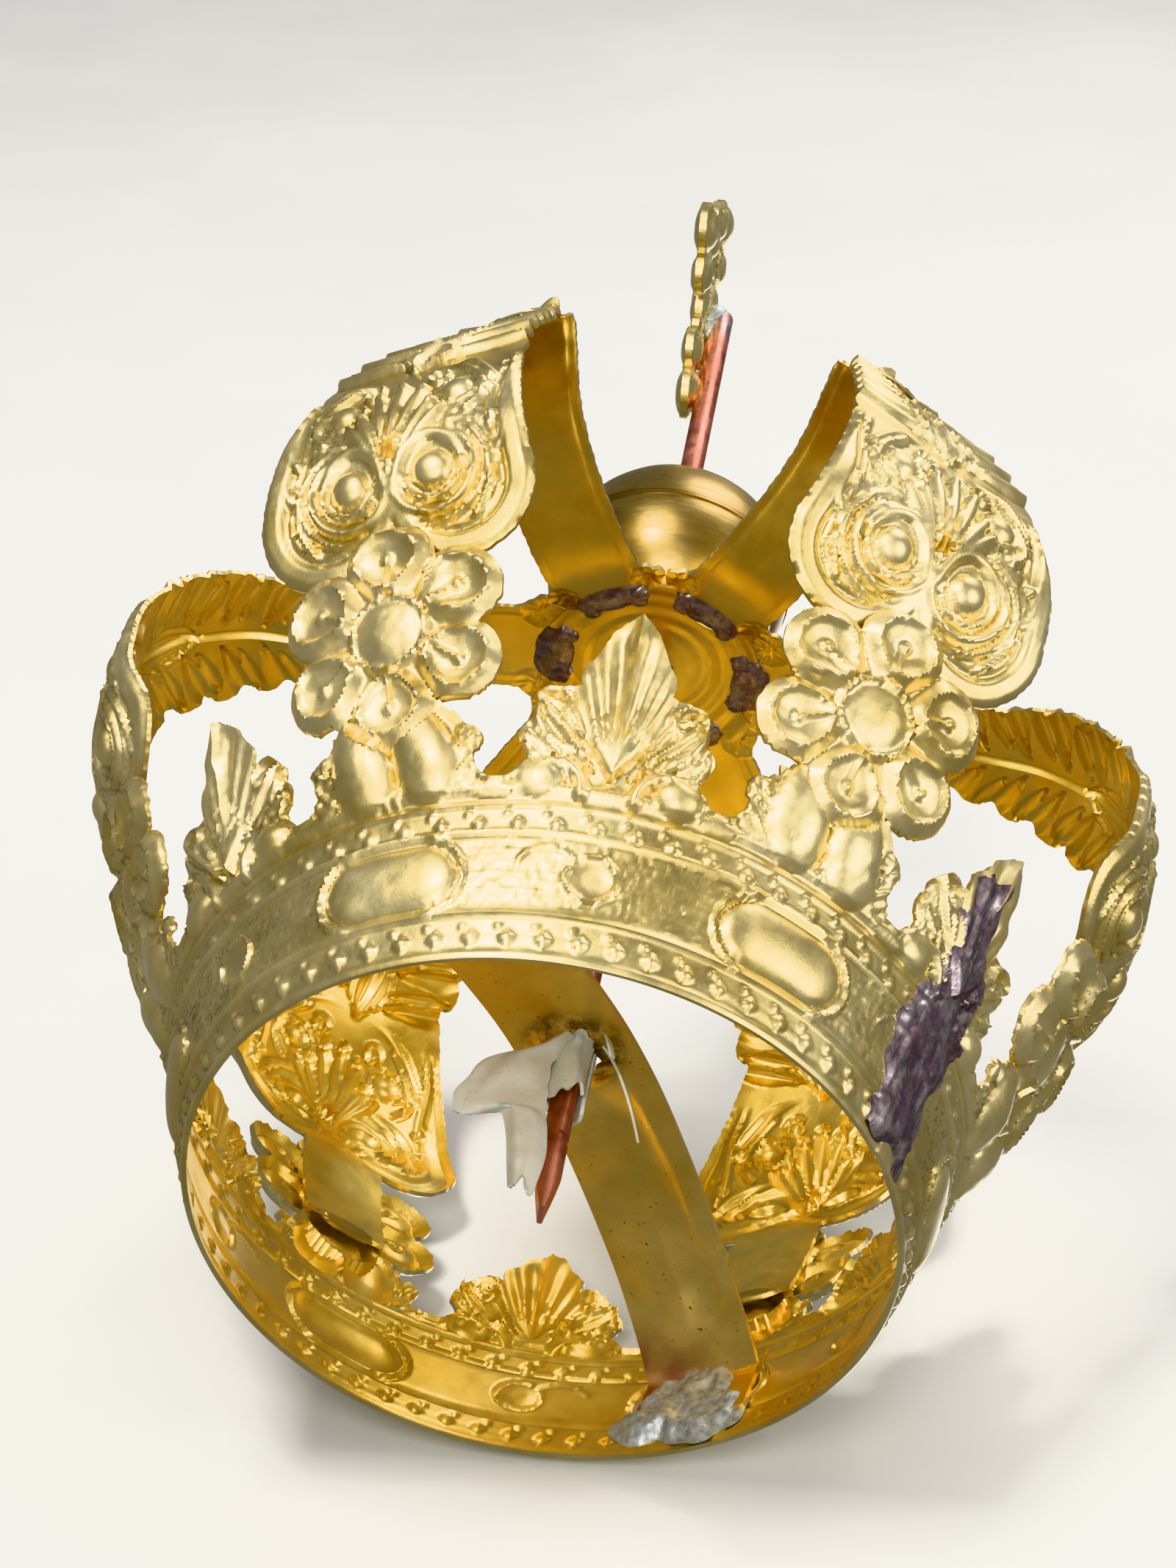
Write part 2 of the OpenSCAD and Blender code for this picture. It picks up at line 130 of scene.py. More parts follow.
def dome(d, radius, height):
    """A rounded button: d is the distance from its centre."""
    return height * np.sqrt(np.clip(1 - (d / radius) ** 2, 0, None))


def hashed(i, j, seed):
    """A repeatable number from 0 to 1 for each cell."""
    x = np.sin(i * 127.1 + j * 311.7 + seed * 74.7) * 43758.5453
    return x - np.floor(x)


def wave_noise(u, v, scale, seed):
    """Soft noise from -1 to 1 whose lumps are about scale across."""
    i, j = np.floor(u / scale), np.floor(v / scale)
    a, b = u / scale - i, v / scale - j
    a, b = a * a * (3 - 2 * a), b * b * (3 - 2 * b)
    n00, n10 = hashed(i, j, seed), hashed(i + 1, j, seed)
    n01, n11 = hashed(i, j + 1, seed), hashed(i + 1, j + 1, seed)
    return 2 * ((n00 * (1 - a) + n10 * a) * (1 - b) + (n01 * (1 - a) + n11 * a) * b) - 1


def pebbles(u, v, pu, pv, seed):
    """Close-set pebbles pu by pv across, from 0 to 1."""
    best = np.zeros_like(u)
    j0 = np.floor(v / pv)
    for dj in (-1, 0, 1):
        j = j0 + dj
        x = u / pu + 0.5 * (j % 2)
        i0 = np.floor(x)
        for di in (-1, 0, 1):
            i = i0 + di
            cx = i + 0.5 + 0.35 * (hashed(i, j, seed) - 0.5)
            cy = j + 0.5 + 0.35 * (hashed(i, j, seed + 9) - 0.5)
            size = 0.56 + 0.12 * hashed(i, j, seed + 17)
            d2 = ((x - cx) ** 2 + (v / pv - cy) ** 2) / size ** 2
            best = np.maximum(best, np.sqrt(np.clip(1 - d2, 0, None)))
    return best


def stroke(u, v, points):
    """Distance to a polyline, and how far along it the nearest point is, from 0 to 1."""
    pts = np.asarray(points, float)
    seg = np.diff(pts, axis=0)
    length = np.hypot(seg[:, 0], seg[:, 1])
    start = np.concatenate([[0], np.cumsum(length)])
    best = np.full(np.shape(u), 1e9)
    along = np.zeros(np.shape(u))
    for (x, y), (dx, dy), ll, s0 in zip(pts[:-1], seg, length, start):
        t = np.clip(((u - x) * dx + (v - y) * dy) / max(ll * ll, 1e-9), 0, 1)
        d = np.hypot(u - x - t * dx, v - y - t * dy)
        near = d < best
        best = np.where(near, d, best)
        along = np.where(near, (s0 + t * ll) / start[-1], along)
    return best, along


def spiral(cx, cy, r0, r1, a0, turns, n=30):
    """Points of a spiral from radius r0 to r1; angles in turns."""
    t = np.linspace(0, 1, n)
    r = r0 + (r1 - r0) * t ** 0.8
    a = 2 * math.pi * (a0 + turns * t)
    return np.stack([cx + r * np.cos(a), cy + r * np.sin(a)], 1)


def arc_points(points, n=12):
    """A Catmull-Rom curve through the points."""
    p = np.asarray(points, float)
    out = []
    for i in range(len(p) - 1):
        a, b, c, d = p[max(i - 1, 0)], p[i], p[i + 1], p[min(i + 2, len(p) - 1)]
        for t in np.arange(n) / n:
            out.append(0.5 * (2 * b + (c - a) * t + (2 * a - 5 * b + 4 * c - d) * t * t
                              + (3 * b - a - 3 * c + d) * t ** 3))
    return np.array(out + [p[-1]])


def leaf(u, v, base, tip, width, height, flutes=0, belly=0.55):
    """A raised leaf from base to tip: its height over the sheet, with flutes across its width."""
    (x0, y0), (x1, y1) = base, tip
    dx, dy = x1 - x0, y1 - y0
    ll = math.hypot(dx, dy)
    t = ((u - x0) * dx + (v - y0) * dy) / ll / ll
    side = (-(u - x0) * dy + (v - y0) * dx) / ll
    tc = np.clip(t, 1e-4, 1 - 1e-4)
    power = math.log(0.5) / math.log(belly)
    half = width / 2 * np.sin(math.pi * tc ** power) ** 0.8
    x = side / np.maximum(half, 1e-3)
    inside = np.clip(1 - x * x, 0, None) * (t > 0) * (t < 1)
    h = height * inside ** 0.5
    if flutes:
        h = h * (0.72 + 0.28 * np.cos(math.pi * flutes * x))
    return h


# --- meshes --------------------------------------------------------------------------------------
def make_object(name, verts, faces, materials, body, nodes=(), face_mats=None, relief=None, sharp=38):
    """A mesh in millimetres becomes a piece that rides on a body and stands for CAD nodes."""
    mesh = bpy.data.meshes.new(name)
    verts = np.asarray(verts, float) * MM
    mesh.from_pydata([], [], [])
    mesh.vertices.add(len(verts))
    mesh.vertices.foreach_set("co", verts.astype(np.float32).ravel())
    faces = [np.asarray(f) for f in faces]
    quads = np.concatenate([f.reshape(-1) for f in faces])
    sizes = np.concatenate([np.full(len(f), f.shape[1]) for f in faces])
    mesh.loops.add(len(quads))
    mesh.loops.foreach_set("vertex_index", quads.astype(np.int32))
    mesh.polygons.add(len(sizes))
    mesh.polygons.foreach_set("loop_start", np.concatenate([[0], np.cumsum(sizes)[:-1]]).astype(np.int32))
    mesh.update(calc_edges=True)
    for material in materials:
        mesh.materials.append(material)
    if face_mats is not None:
        mesh.polygons.foreach_set("material_index", face_mats.astype(np.int32))
    if relief is not None:
        layer = mesh.attributes.new("relief", "FLOAT", "POINT")
        layer.data.foreach_set("value", np.asarray(relief, np.float32))
    mesh.polygons.foreach_set("use_smooth", np.ones(len(sizes), bool))
    if sharp:
        mesh.set_sharp_from_angle(angle=math.radians(sharp))
    mesh.validate()
    obj = bpy.data.objects.new(name, mesh)
    bpy.context.scene.collection.objects.link(obj)
    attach(obj, body)
    if nodes:
        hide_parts(*nodes)
    return obj


def sheet_mesh(us, vs, mask, outer, inner, wrap=False):
    """Closed mesh of a sheet cut to an outline. mask(u, v) is above 0 inside; outer and inner give
    points and relief. Returns vertices, quads, which quads are inside faces, and relief."""
    u, v = np.meshgrid(us, vs, indexing="ij")
    n, m = u.shape
    step_u, step_v = us[1] - us[0], vs[1] - vs[0]
    value = mask(u, v)
    centre = (value[:-1, :-1] + value[1:, :-1] + value[1:, 1:] + value[:-1, 1:]) / 4
    keep = centre > 0
    index = np.arange(n * m).reshape(n, m)
    if wrap:
        index[-1] = index[0]
    quads = np.stack([index[:-1, :-1], index[1:, :-1], index[1:, 1:], index[:-1, 1:]], -1)[keep]
    edges = np.concatenate([quads[:, [0, 1]], quads[:, [1, 2]], quads[:, [2, 3]], quads[:, [3, 0]]])
    key = np.sort(edges, 1)
    key = key[:, 0].astype(np.int64) * (n * m) + key[:, 1]
    _, first, count = np.unique(key, return_index=True, return_counts=True)
    rim = edges[first[count == 1]]
    touch = np.zeros(n * m, bool)
    touch[rim.ravel()] = True
    uf, vf, flat = u.ravel().copy(), v.ravel().copy(), value.ravel()
    gu, gv = np.gradient(value, step_u, step_v)
    gu, gv = gu.ravel(), gv.ravel()
    g2 = np.maximum(gu * gu + gv * gv, 1e-6)
    shift = np.clip(flat / g2, -1e3, 1e3)
    du, dv = -shift * gu, -shift * gv
    limit_u, limit_v = 0.7 * step_u, 0.7 * step_v
    uf[touch] += np.clip(du, -limit_u, limit_u)[touch]
    vf[touch] += np.clip(dv, -limit_v, limit_v)[touch]
    used = np.unique(quads)
    remap = np.full(n * m, -1)
    remap[used] = np.arange(len(used))
    quads, rim = remap[quads], remap[rim]
    top, relief_top = outer(uf[used], vf[used])
    low, relief_low = inner(uf[used], vf[used])
    count = len(used)
    wall = np.stack([rim[:, 1], rim[:, 0], rim[:, 0] + count, rim[:, 1] + count], 1)
    faces = [quads, quads[:, ::-1] + count, wall]
    inside = np.concatenate([np.zeros(len(quads)), np.ones(len(quads)), np.zeros(len(wall))])
    return np.concatenate([top, low]), faces, inside, np.concatenate([relief_top, relief_low])


def lathe(profile, n, wobble=None, closed=True):
    """Vertices and quads of a profile of (radius, z) turned round the axis."""
    p = np.asarray(profile, float)
    a = 2 * math.pi * np.arange(n) / n
    r, z = p[:, 0][None, :], p[:, 1][None, :]
    verts = np.stack([r * np.sin(a)[:, None], -r * np.cos(a)[:, None], z + 0 * a[:, None]], -1)
    if wobble is not None:
        verts = verts + wobble(verts)
    count = len(p)
    i = np.arange(n)
    k = np.arange(count if closed else count - 1)
    ii, kk = np.meshgrid(i, k, indexing="ij")
    nxt, up = (ii + 1) % n, (kk + 1) % count
    faces = np.stack([ii * count + kk, nxt * count + kk, nxt * count + up, ii * count + up], -1)
    return verts.reshape(-1, 3), faces.reshape(-1, 4)


def polar(phi, r, z):
    """Point at azimuth phi, radius r and height z."""
    return np.stack([r * np.sin(phi), -r * np.cos(phi), z], -1)


# --- the circlet's relief ------------------------------------------------------------------------
def near_motif(phi, half_step):
    """Azimuth from the nearest repeat: palmettes at half_step 0, flowers at 0.5."""
    k = np.round(phi / PITCH - half_step)
    return phi - (k + half_step) * PITCH, k % REPEATS


def crest_radius(s):
    """Outside radius used to turn azimuth into width, s along the sheet from the rim."""
    return RIM_R + s * math.sin(BAND_LEAN)


def lean_at(phi):
    """How far the crest leans out at an azimuth."""
    off, k = near_motif(phi, 0.5)
    w = 1 - smooth(np.abs(np.degrees(off)), 14.5, 18.5)
    drift = math.radians(1.2) * np.sin(k * 2.1 + 0.5)
    drift = drift * (1 - w) * smooth(np.abs(np.degrees(off)), 17, 20)
    return BAND_LEAN + (FLOWER_LEAN - BAND_LEAN) * w + drift


def circlet_point(phi, s, out):
    """Point of the circlet's outer face at azimuth phi and slant s, moved outwards by out."""
    lean = lean_at(phi)
    crest = np.clip(s - BAND_SLANT, 0, None)
    band = np.minimum(s, BAND_SLANT)
    bend = 1.0 * smooth(crest, 12, 26)
    r = RIM_R + band * math.sin(BAND_LEAN) + crest * np.sin(lean) + bend * 0.4
    z = band * math.cos(BAND_LEAN) + crest * np.cos(lean)
    tilt = np.where(s < BAND_SLANT, BAND_LEAN, lean)
    return polar(phi, r + out * np.cos(tilt), z - out * np.sin(tilt))


def circlet_mask(phi, s):
    """Above 0 where the circlet has metal."""
    v = s - BAND_SLANT
    r = crest_radius(s)
    off_f, kf = near_motif(phi, 0.5)
    off_p, kp = near_motif(phi, 0.0)
    xf, xp = off_f * r, off_p * r
    wide = 1 + 0.03 * np.sin(5 * kp + 1)
    # the flower, its stem and the two buds under it
    m = PETAL_RING - np.hypot(xf, v - FLOWER_V)
    for a in range(PETALS):
        turn = 2 * math.pi * a / PETALS
        px, pv = PETAL_RING * math.sin(turn), FLOWER_V + PETAL_RING * math.cos(turn)
        m = np.maximum(m, PETAL_R + 0.15 * np.sin(3 * kf + a) - np.hypot(xf - px, v - pv))
    stem = np.minimum(5.4 - np.abs(xf) + 0.5 * np.sin(v * 0.9), 14 - v)
    m = np.maximum(m, stem)
    m = np.maximum(m, 1 - np.hypot((np.abs(xf) - 4.4) / 4.6, (v - 5.4) / 7.0))
    m = np.maximum(m, 2.2 - np.hypot(np.abs(xf) - 7.6, v - 3.4))
    # the palmette: a centre leaf, two curled lobes and its feet
    half = 5.6 * np.clip(1 - (np.clip(v - 15, 0, None) / (PALMETTE_H - 15)) ** 1.7, 0, 1)
    scallop = 0.55 * np.abs(np.sin((v - 12) * 0.62))
    blade = np.where((v > 0) & (v < PALMETTE_H), half * wide - scallop * (v > 12) - np.abs(xp), -1)
    m = np.maximum(m, blade * 0.8)
    m = np.maximum(m, 4.0 - np.hypot(np.abs(xp) - 6.3, v - 10.6))
    m = np.maximum(m, 2.6 - np.hypot(np.abs(xp) - 8.6, v - 7.6))
    m = np.maximum(m, np.minimum(6.6 - np.abs(xp), 11 - v))
    m = np.maximum(m, 3.2 - np.hypot(np.abs(xp) - 8.3, v - 1.4))
    # the scroll between them: a trough open upwards
    xs = np.abs(off_p) * r - math.radians(15) * BAND_TOP_R * 1.03
    ring = np.hypot(xs, v - (SCROLL_R - 1))
    scroll = np.minimum(SCROLL_R - ring, ring - (SCROLL_R - 2.9))
    scroll = np.where(v < SCROLL_R + 0.8, scroll, -1)
    scroll = np.maximum(scroll, 2.1 - np.hypot(np.abs(xs) - (SCROLL_R - 1.4), v - (SCROLL_R + 0.7)))
    m = np.maximum(m, scroll)
    m = np.maximum(m, 1.2 - v)
    ragged = 0.10 * np.sin(phi * 150 + v * 2.3) * np.sin(phi * 61 + 1)
    m = np.where(v > 1, m + ragged, m)
    return np.minimum(np.minimum(m, s + 0.001), CREST_SLANT - v)


def band_relief(phi, s, fine):
    """Relief of the band below the crest."""
    off_b, _ = near_motif(phi, 0.5)
    off_c, _ = near_motif(phi, 0.0)
    r = crest_radius(s)
    xb, xc = off_b * r, off_c * r
    mid = BAND_SLANT / 2 + 0.2
    h = ridge(s - 0.5, 1.3, 0.28)
    h = h + ridge(s - 5.7, 1.0, 0.55) + ridge(s - 6.6, 0.5, 0.14)
    h = h + ridge(s - 16.3, 1.1, 0.55) + ridge(s - 15.4, 0.5, 0.14)
    h = h + ridge(s - 20.0, 0.9, 0.35)
    studs = 66
    for row, lift, size, shift in ((2.7, 0.5, 0.95, 0.0), (4.2, 0.36, 0.55, 0.25), (17.5, 0.45, 0.85, 0.1),
                                   (18.8, 0.32, 0.5, 0.4)):
        cell = phi / (2 * math.pi) * studs + shift
        x = (cell - np.round(cell)) * 2 * math.pi * r / studs
        y = s - row
        if lift > 0.4:
            d = (np.abs(x) + np.abs(y)) / 1.25
            h = np.maximum(h, dome(d, size, lift))
        else:
            h = np.maximum(h, dome(np.hypot(x, y), size, lift))
    h = h + ridge(s - 2.7, 0.35, 0.07)
    field = smooth(s, 6.2, 7.0) * (1 - smooth(s, 15.0, 15.8))
    boss_half, boss_r = 4.2, 3.9
    d_boss = np.hypot(np.clip(np.abs(xb) - boss_half, 0, None), s - mid)
    boss = dome(d_boss, boss_r, 1.15)
    crescent = ridge(d_boss - 4.9, 0.9, 0.55) * smooth(np.abs(xb), 3.6, 6.0)
    d_ring = np.hypot(xc, s - mid)
    gap = smooth(np.hypot(xc + 2.4, s - mid - 2.2), 0.7, 1.4)
    circle = ridge(d_ring - 2.9, 0.75, 0.55) * gap - 0.25 * (1 - smooth(d_ring, 1.0, 2.6))
    d_tail, _ = stroke(xc, s - mid, arc_points([(-2.2, 2.0), (-4.4, 3.4), (-7.0, 3.2), (-8.6, 1.6)], 5))
    circle = circle + ridge(d_tail, 0.7, 0.35)
    ground = field * (d_boss > 4.3) * (d_ring > 3.4)
    if fine:
        grain = pebbles(phi * 45, s, 0.62, 1.05, 3)
        h = h + ground * (0.26 * grain - 0.1)
    else:
        h = h - 0.02 * ground
    h = h + boss + crescent + circle
    seam = near_motif(phi, 1.0)[0]
    at_seam = smooth(np.abs(phi - math.radians(60)) * r, 3.5, 3.9)
    h = np.where(np.abs(phi - math.radians(60)) < 0.2, h * at_seam + (1 - at_seam) * (0.35 + 0.25 * h), h)
    return h + 0 * seam


def crest_relief(phi, s, fine):
    """Relief of the flowers, palmettes and scrolls."""
    v = s - BAND_SLANT
    r = crest_radius(s)
    off_f, _ = near_motif(phi, 0.5)
    off_p, _ = near_motif(phi, 0.0)
    xf, xp = off_f * r, off_p * r
    # flower
    flower = np.zeros_like(v)
    dist = np.hypot(xf, v - FLOWER_V)
    for a in range(PETALS):
        turn = 2 * math.pi * a / PETALS
        along = xf * math.sin(turn) + (v - FLOWER_V) * math.cos(turn)
        across = xf * math.cos(turn) - (v - FLOWER_V) * math.sin(turn)
        # a cupped drop, narrow at the disc, with a rolled rim and a pin lying in the cup
        narrow = 1 - 0.30 * smooth(PETAL_RING - along, -1.0, 4.5)
        q = np.hypot(across / narrow, along - PETAL_RING)
        raised = 1.55 * np.clip(1 - (q / 5.4) ** 4, 0, None)
        cup = 1.25 * np.clip(1 - (q / 3.5) ** 2, 0, None) ** 0.7
        petal = raised - cup + ridge(q - 3.7, 0.9, 0.3)
        pin = ridge(across, 0.7, 0.6) * smooth(along, 5.4, 6.0) * (1 - smooth(along, 9.2, 9.8))
        knob = dome(np.hypot(across, along - 9.6), 0.75, 0.75)
        petal = petal + np.maximum(pin, knob)
        flower = np.maximum(flower, np.where(q < 5.35, petal, 0))
    beads = 1 + 0.25 * np.cos(np.arctan2(xf, v - FLOWER_V) * 26)
    disc = dome(dist, DISC_R, 1.1) + ridge(dist - DISC_R, 0.9, 0.75) * beads
    flower = np.where(dist < DISC_R + 0.5, np.maximum(disc, 0.2), flower)
    # buds and leaves under the flower
    buds = np.zeros_like(v)
    for side in (-1, 1):
        tilt = 0.22 * side
        bx, bv = xf * side - 3.9, v - 5.6
        u1, u2 = bx * math.cos(tilt) + bv * math.sin(tilt), -bx * math.sin(tilt) + bv * math.cos(tilt)
        q = np.hypot(u1 / (3.75 - 0.12 * u2), u2 / 6.6)
        buds = np.maximum(buds, dome(q, 1.0, 2.3) + ridge((q - 0.95) * 3.2, 0.6, 0.15))
        buds = np.maximum(buds, leaf(xf * side, v, (5.4, -0.4), (10.4, 5.0), 4.2, 1.0, flutes=3, belly=0.7))
        buds = np.maximum(buds, leaf(xf * side, v, (0.6, -0.8), (1.2, 2.8), 2.2, 0.8, flutes=2))
    # palmette
    palm = leaf(xp, v, (0, 2.2), (0, 25.4), 11.6, 1.35, belly=0.55)
    fan = np.arctan2(xp, v - 0.5)
    rays = 0.5 + 0.5 * np.cos(fan * 2 * math.pi / 0.155)
    reach = smooth(v, 5, 9) * (1 - smooth(np.hypot(xp, v - 2), 17.5, 21.5))
    palm = np.where(palm > 0, palm * (1 - 0.42 * (1 - rays) * reach), 0)
    palm = np.maximum(palm, leaf(xp, v, (0, 16), (0, 25.2), 4.4, 1.7, flutes=1))
    for side in (-1, 1):
        w = xp * side
        palm = np.maximum(palm, leaf(w, v, (1.6, 2.4), (9.6, 12.6), 5.6, 1.35, flutes=3, belly=0.7))
        palm = np.maximum(palm, leaf(w, v, (2.4, 1.0), (10.6, 8.0), 4.4, 1.15, flutes=3, belly=0.7))
        curl, _ = stroke(w, v, spiral(7.6, 11.2, 3.0, 0.9, 0.08, 0.8, 16))
        palm = np.maximum(palm, ridge(curl, 1.3, 1.3) * (v > 6))
        bulb = np.hypot((w - 7.9) / 2.9, (v - 1.7) / 2.5)
        palm = np.maximum(palm, dome(bulb, 1.0, 1.9 if side > 0 else 1.3))
        roll, _ = stroke(w, v, arc_points([(7.9, 3.5), (5.2, 3.9), (3.4, 1.9), (3.0, -0.4)], 5))
        palm = np.maximum(palm, ridge(roll, 1.7, 1.2))
    # scrolls with a row of beads between two smooth lips
    xs = np.abs(off_p) * r - math.radians(15) * BAND_TOP_R * 1.03
    ys = v - (SCROLL_R - 1)
    ring = np.hypot(xs, ys)
    turn = np.arctan2(xs, -ys)
    beads = 0.5 + 0.5 * np.cos(turn * 26)
    scroll = ridge(ring - 5.35, 0.9, 0.75) + ridge(ring - 3.35, 0.8, 0.75)
    scroll = scroll + ridge(ring - 4.35, 1.5, 0.65) * (0.45 + 0.55 * beads)
    scroll = np.where((ring < 6.1) & (ys < 2.4), scroll, 0)
    for side in (-1, 1):
        shell = np.hypot(xs * side - (SCROLL_R - 1.3), ys - 1.7)
        angle = np.arctan2(xs * side - (SCROLL_R - 1.3), ys - 0.4)
        scroll = np.maximum(scroll, dome(shell, 2.2, 1.2) * (0.7 + 0.3 * np.cos(angle * 9)))
    use_f = np.abs(xf) < 15.2
    in_flower = flower > 0
    h = np.where(use_f & in_flower, flower, buds * (np.abs(xf) < 11))
    h = np.maximum(h, palm)
    h = np.maximum(h, scroll * (np.abs(xs) < 7.6) * (np.abs(xf) > 7.6))
    roll = ridge(v - 0.35, 1.9, 0.75) * (0.9 + 0.1 * np.cos(phi * 400))
    h = np.maximum(h, roll)
    h = h + 0.22 * wave_noise(phi * 48, s, 3.1, 5) * smooth(v, 0, 2)
    if fine:
        h = h + 0.05 * wave_noise(phi * 48, s, 0.7, 8) * smooth(v, 0, 2)
    return h


def circlet_relief(phi, s, fine=True):
    h_band = band_relief(phi, s, fine)
    h_crest = crest_relief(phi, s, fine)
    w = smooth(s, BAND_SLANT - 0.9, BAND_SLANT - 0.3)
    return h_band * (1 - w) + h_crest * w


def circlet_faces():
    dent = lambda phi, s: 0.12 * wave_noise(phi * 45, s, 9, 2) * smooth(s, 0, 5)

    def outer(phi, s):
        h = circlet_relief(phi, s)
        return circlet_point(phi, s, h + dent(phi, s)), h

    def inner(phi, s):
        h = circlet_relief(phi, s, fine=False)
        return circlet_point(phi, s, 0.92 * h + dent(phi, s) - SHEET), h
    return outer, inner


def build_circlet():
    columns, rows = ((880, 132))
    phi = np.linspace(0, 2 * math.pi, columns + 1) + math.radians(60)
    s = np.linspace(0, CREST_SLANT + BAND_SLANT, rows)
    outer, inner = circlet_faces()
    return sheet_mesh(phi, s, circlet_mask, outer, inner, wrap=True)


# --- the arches ----------------------------------------------------------------------------------
def dish_top(r):
    return DOME_Z + math.sqrt(DOME_R ** 2 - r * r)


FOOT_IN = 1.03
BEHIND_IN = 1.95                     # room behind the upper petals for the sheet of the shield
ARCH_TOP_Z = dish_top(ARCH_END_R) + SHEET + 0.02
SHIELD_L = 22.6                      # length of the stamped shield above the lobes' middle
SWELL_R = FLOWER_R + 10


class ArchPath:
    """Side view of an arch's outer surface, with the lengths along it that matter."""

    def __init__(self, upper, turn_at, end_half):
        foot = [[BAND_TOP_R + (z - BAND_H) * math.tan(FLOWER_LEAN) - inside, z]
                for z, inside in ((FOOT_Z, FOOT_IN), (FLOWER_Z, FOOT_IN), (BEHIND_Z, BEHIND_IN))]
        points = foot + upper + [[ARCH_END_R, ARCH_TOP_Z]]
        self.points = arc_points(points, 20)
        step = np.hypot(*np.diff(self.points, axis=0).T)
        self.length = np.concatenate([[0], np.cumsum(step)])
        self.tangent = np.gradient(self.points, self.length, axis=0)
        self.tangent /= np.linalg.norm(self.tangent, axis=1)[:, None]
        self.end = float(self.length[-1])
        self.lobe_v = float(np.interp(LOBE_Z, self.points[:90, 1], self.length[:90]))
        self.turn_v = float(self.length[20 * turn_at])
        self.end_half = end_half

    def at(self, v):
        """Radius, height and direction at the length v."""
        r, z = (np.interp(v, self.length, self.points[:, i]) for i in (0, 1))
        tr, tz = (np.interp(v, self.length, self.tangent[:, i]) for i in (0, 1))
        return r, z, tr, tz

    def half_width(self, v):
        """Half the width beyond the middle of the shield's lobes."""
        y = v - self.lobe_v
        t = np.clip(y / (self.turn_v - self.lobe_v), 0, 1)
        heart = HEART_W / 2 - (HEART_W / 2 - self.end_half) * t ** (1.7 if self.end_half > 8 else 1.15)
        past = v - self.turn_v
        scallops = 1.0 * np.abs(np.sin((y - 2) * math.pi / 5.6)) - 0.3
        if self.end_half < 8:
            scallops = 0.7 * scallops * smooth(y, 20, 26) * (1 - smooth(past, -8, -2))
            outline = np.where(past < 0, heart + scallops, STRIP_W / 2)
        else:
            neck = self.end_half + 0.6 - (self.end_half - STRIP_W / 2) * smooth(past, 2, 24)
            outline = np.where(past < 0, heart, neck + scallops * (1 - smooth(past, 18, 25)))
        return outline + 2.0 * np.exp(-((v - self.end + 3.2) / 1.9) ** 2)


SHIELD_H = SHOULDER_Z - LOBE_Z
PEAK_H = PEAK_Z - LOBE_Z
LEAN_IN = SWELL_R - PEAK_R
PEAK_DROP = PEAK_Z - ARCH_TOP_Z
LOW = ArchPath([
    [SWELL_R - 1.2, LOBE_Z + SHIELD_H * 0.1],
    [SWELL_R, LOBE_Z + SHIELD_H * 0.39],
    [SWELL_R - 1, LOBE_Z + SHIELD_H * 0.75],
    [SHOULDER_R, SHOULDER_Z + 0.5],
    [SHOULDER_R - 8.5, SHOULDER_Z + 5],
    [SHOULDER_R - 20, SHOULDER_Z + 6.5],
    [ARCH_END_R + 11, ARCH_TOP_Z - 1.6]
], 6, WAIST_W / 2)
PEAKED = ArchPath([
    [SWELL_R - 1.7, LOBE_Z + PEAK_H * 0.05],
    [SWELL_R, LOBE_Z + PEAK_H * 0.21],
    [PEAK_R + LEAN_IN * 0.87, LOBE_Z + PEAK_H * 0.44],
    [PEAK_R + LEAN_IN * 0.62, LOBE_Z + PEAK_H * 0.63],
    [PEAK_R + LEAN_IN * 0.3, LOBE_Z + PEAK_H * 0.83],
    [PEAK_R, PEAK_Z],
    [PEAK_R - 6.5, ARCH_TOP_Z + PEAK_DROP * 0.34],
    [PEAK_R - 14.5, ARCH_TOP_Z],
    [ARCH_END_R + 8.3, ARCH_TOP_Z - 2.5]
], 8, 4.6)


def arch_mask(path, x, v):
    """Above 0 where an arch has metal."""
    ax = np.abs(x)
    y = v - path.lobe_v
    m = np.where(y > 0, path.half_width(v) - ax, -1)
    m = np.maximum(m, LOBE_R - np.hypot(ax - LOBE_X, y))
    m = np.maximum(m, np.where(y < 1, TAB_W / 2 - ax, -1))
    m = m + 0.10 * np.sin(v * 3.1 + x) * np.sin(v * 1.3)
    return np.minimum(np.minimum(m, v), path.end - v + 0.4 * np.sin(x * 0.8))


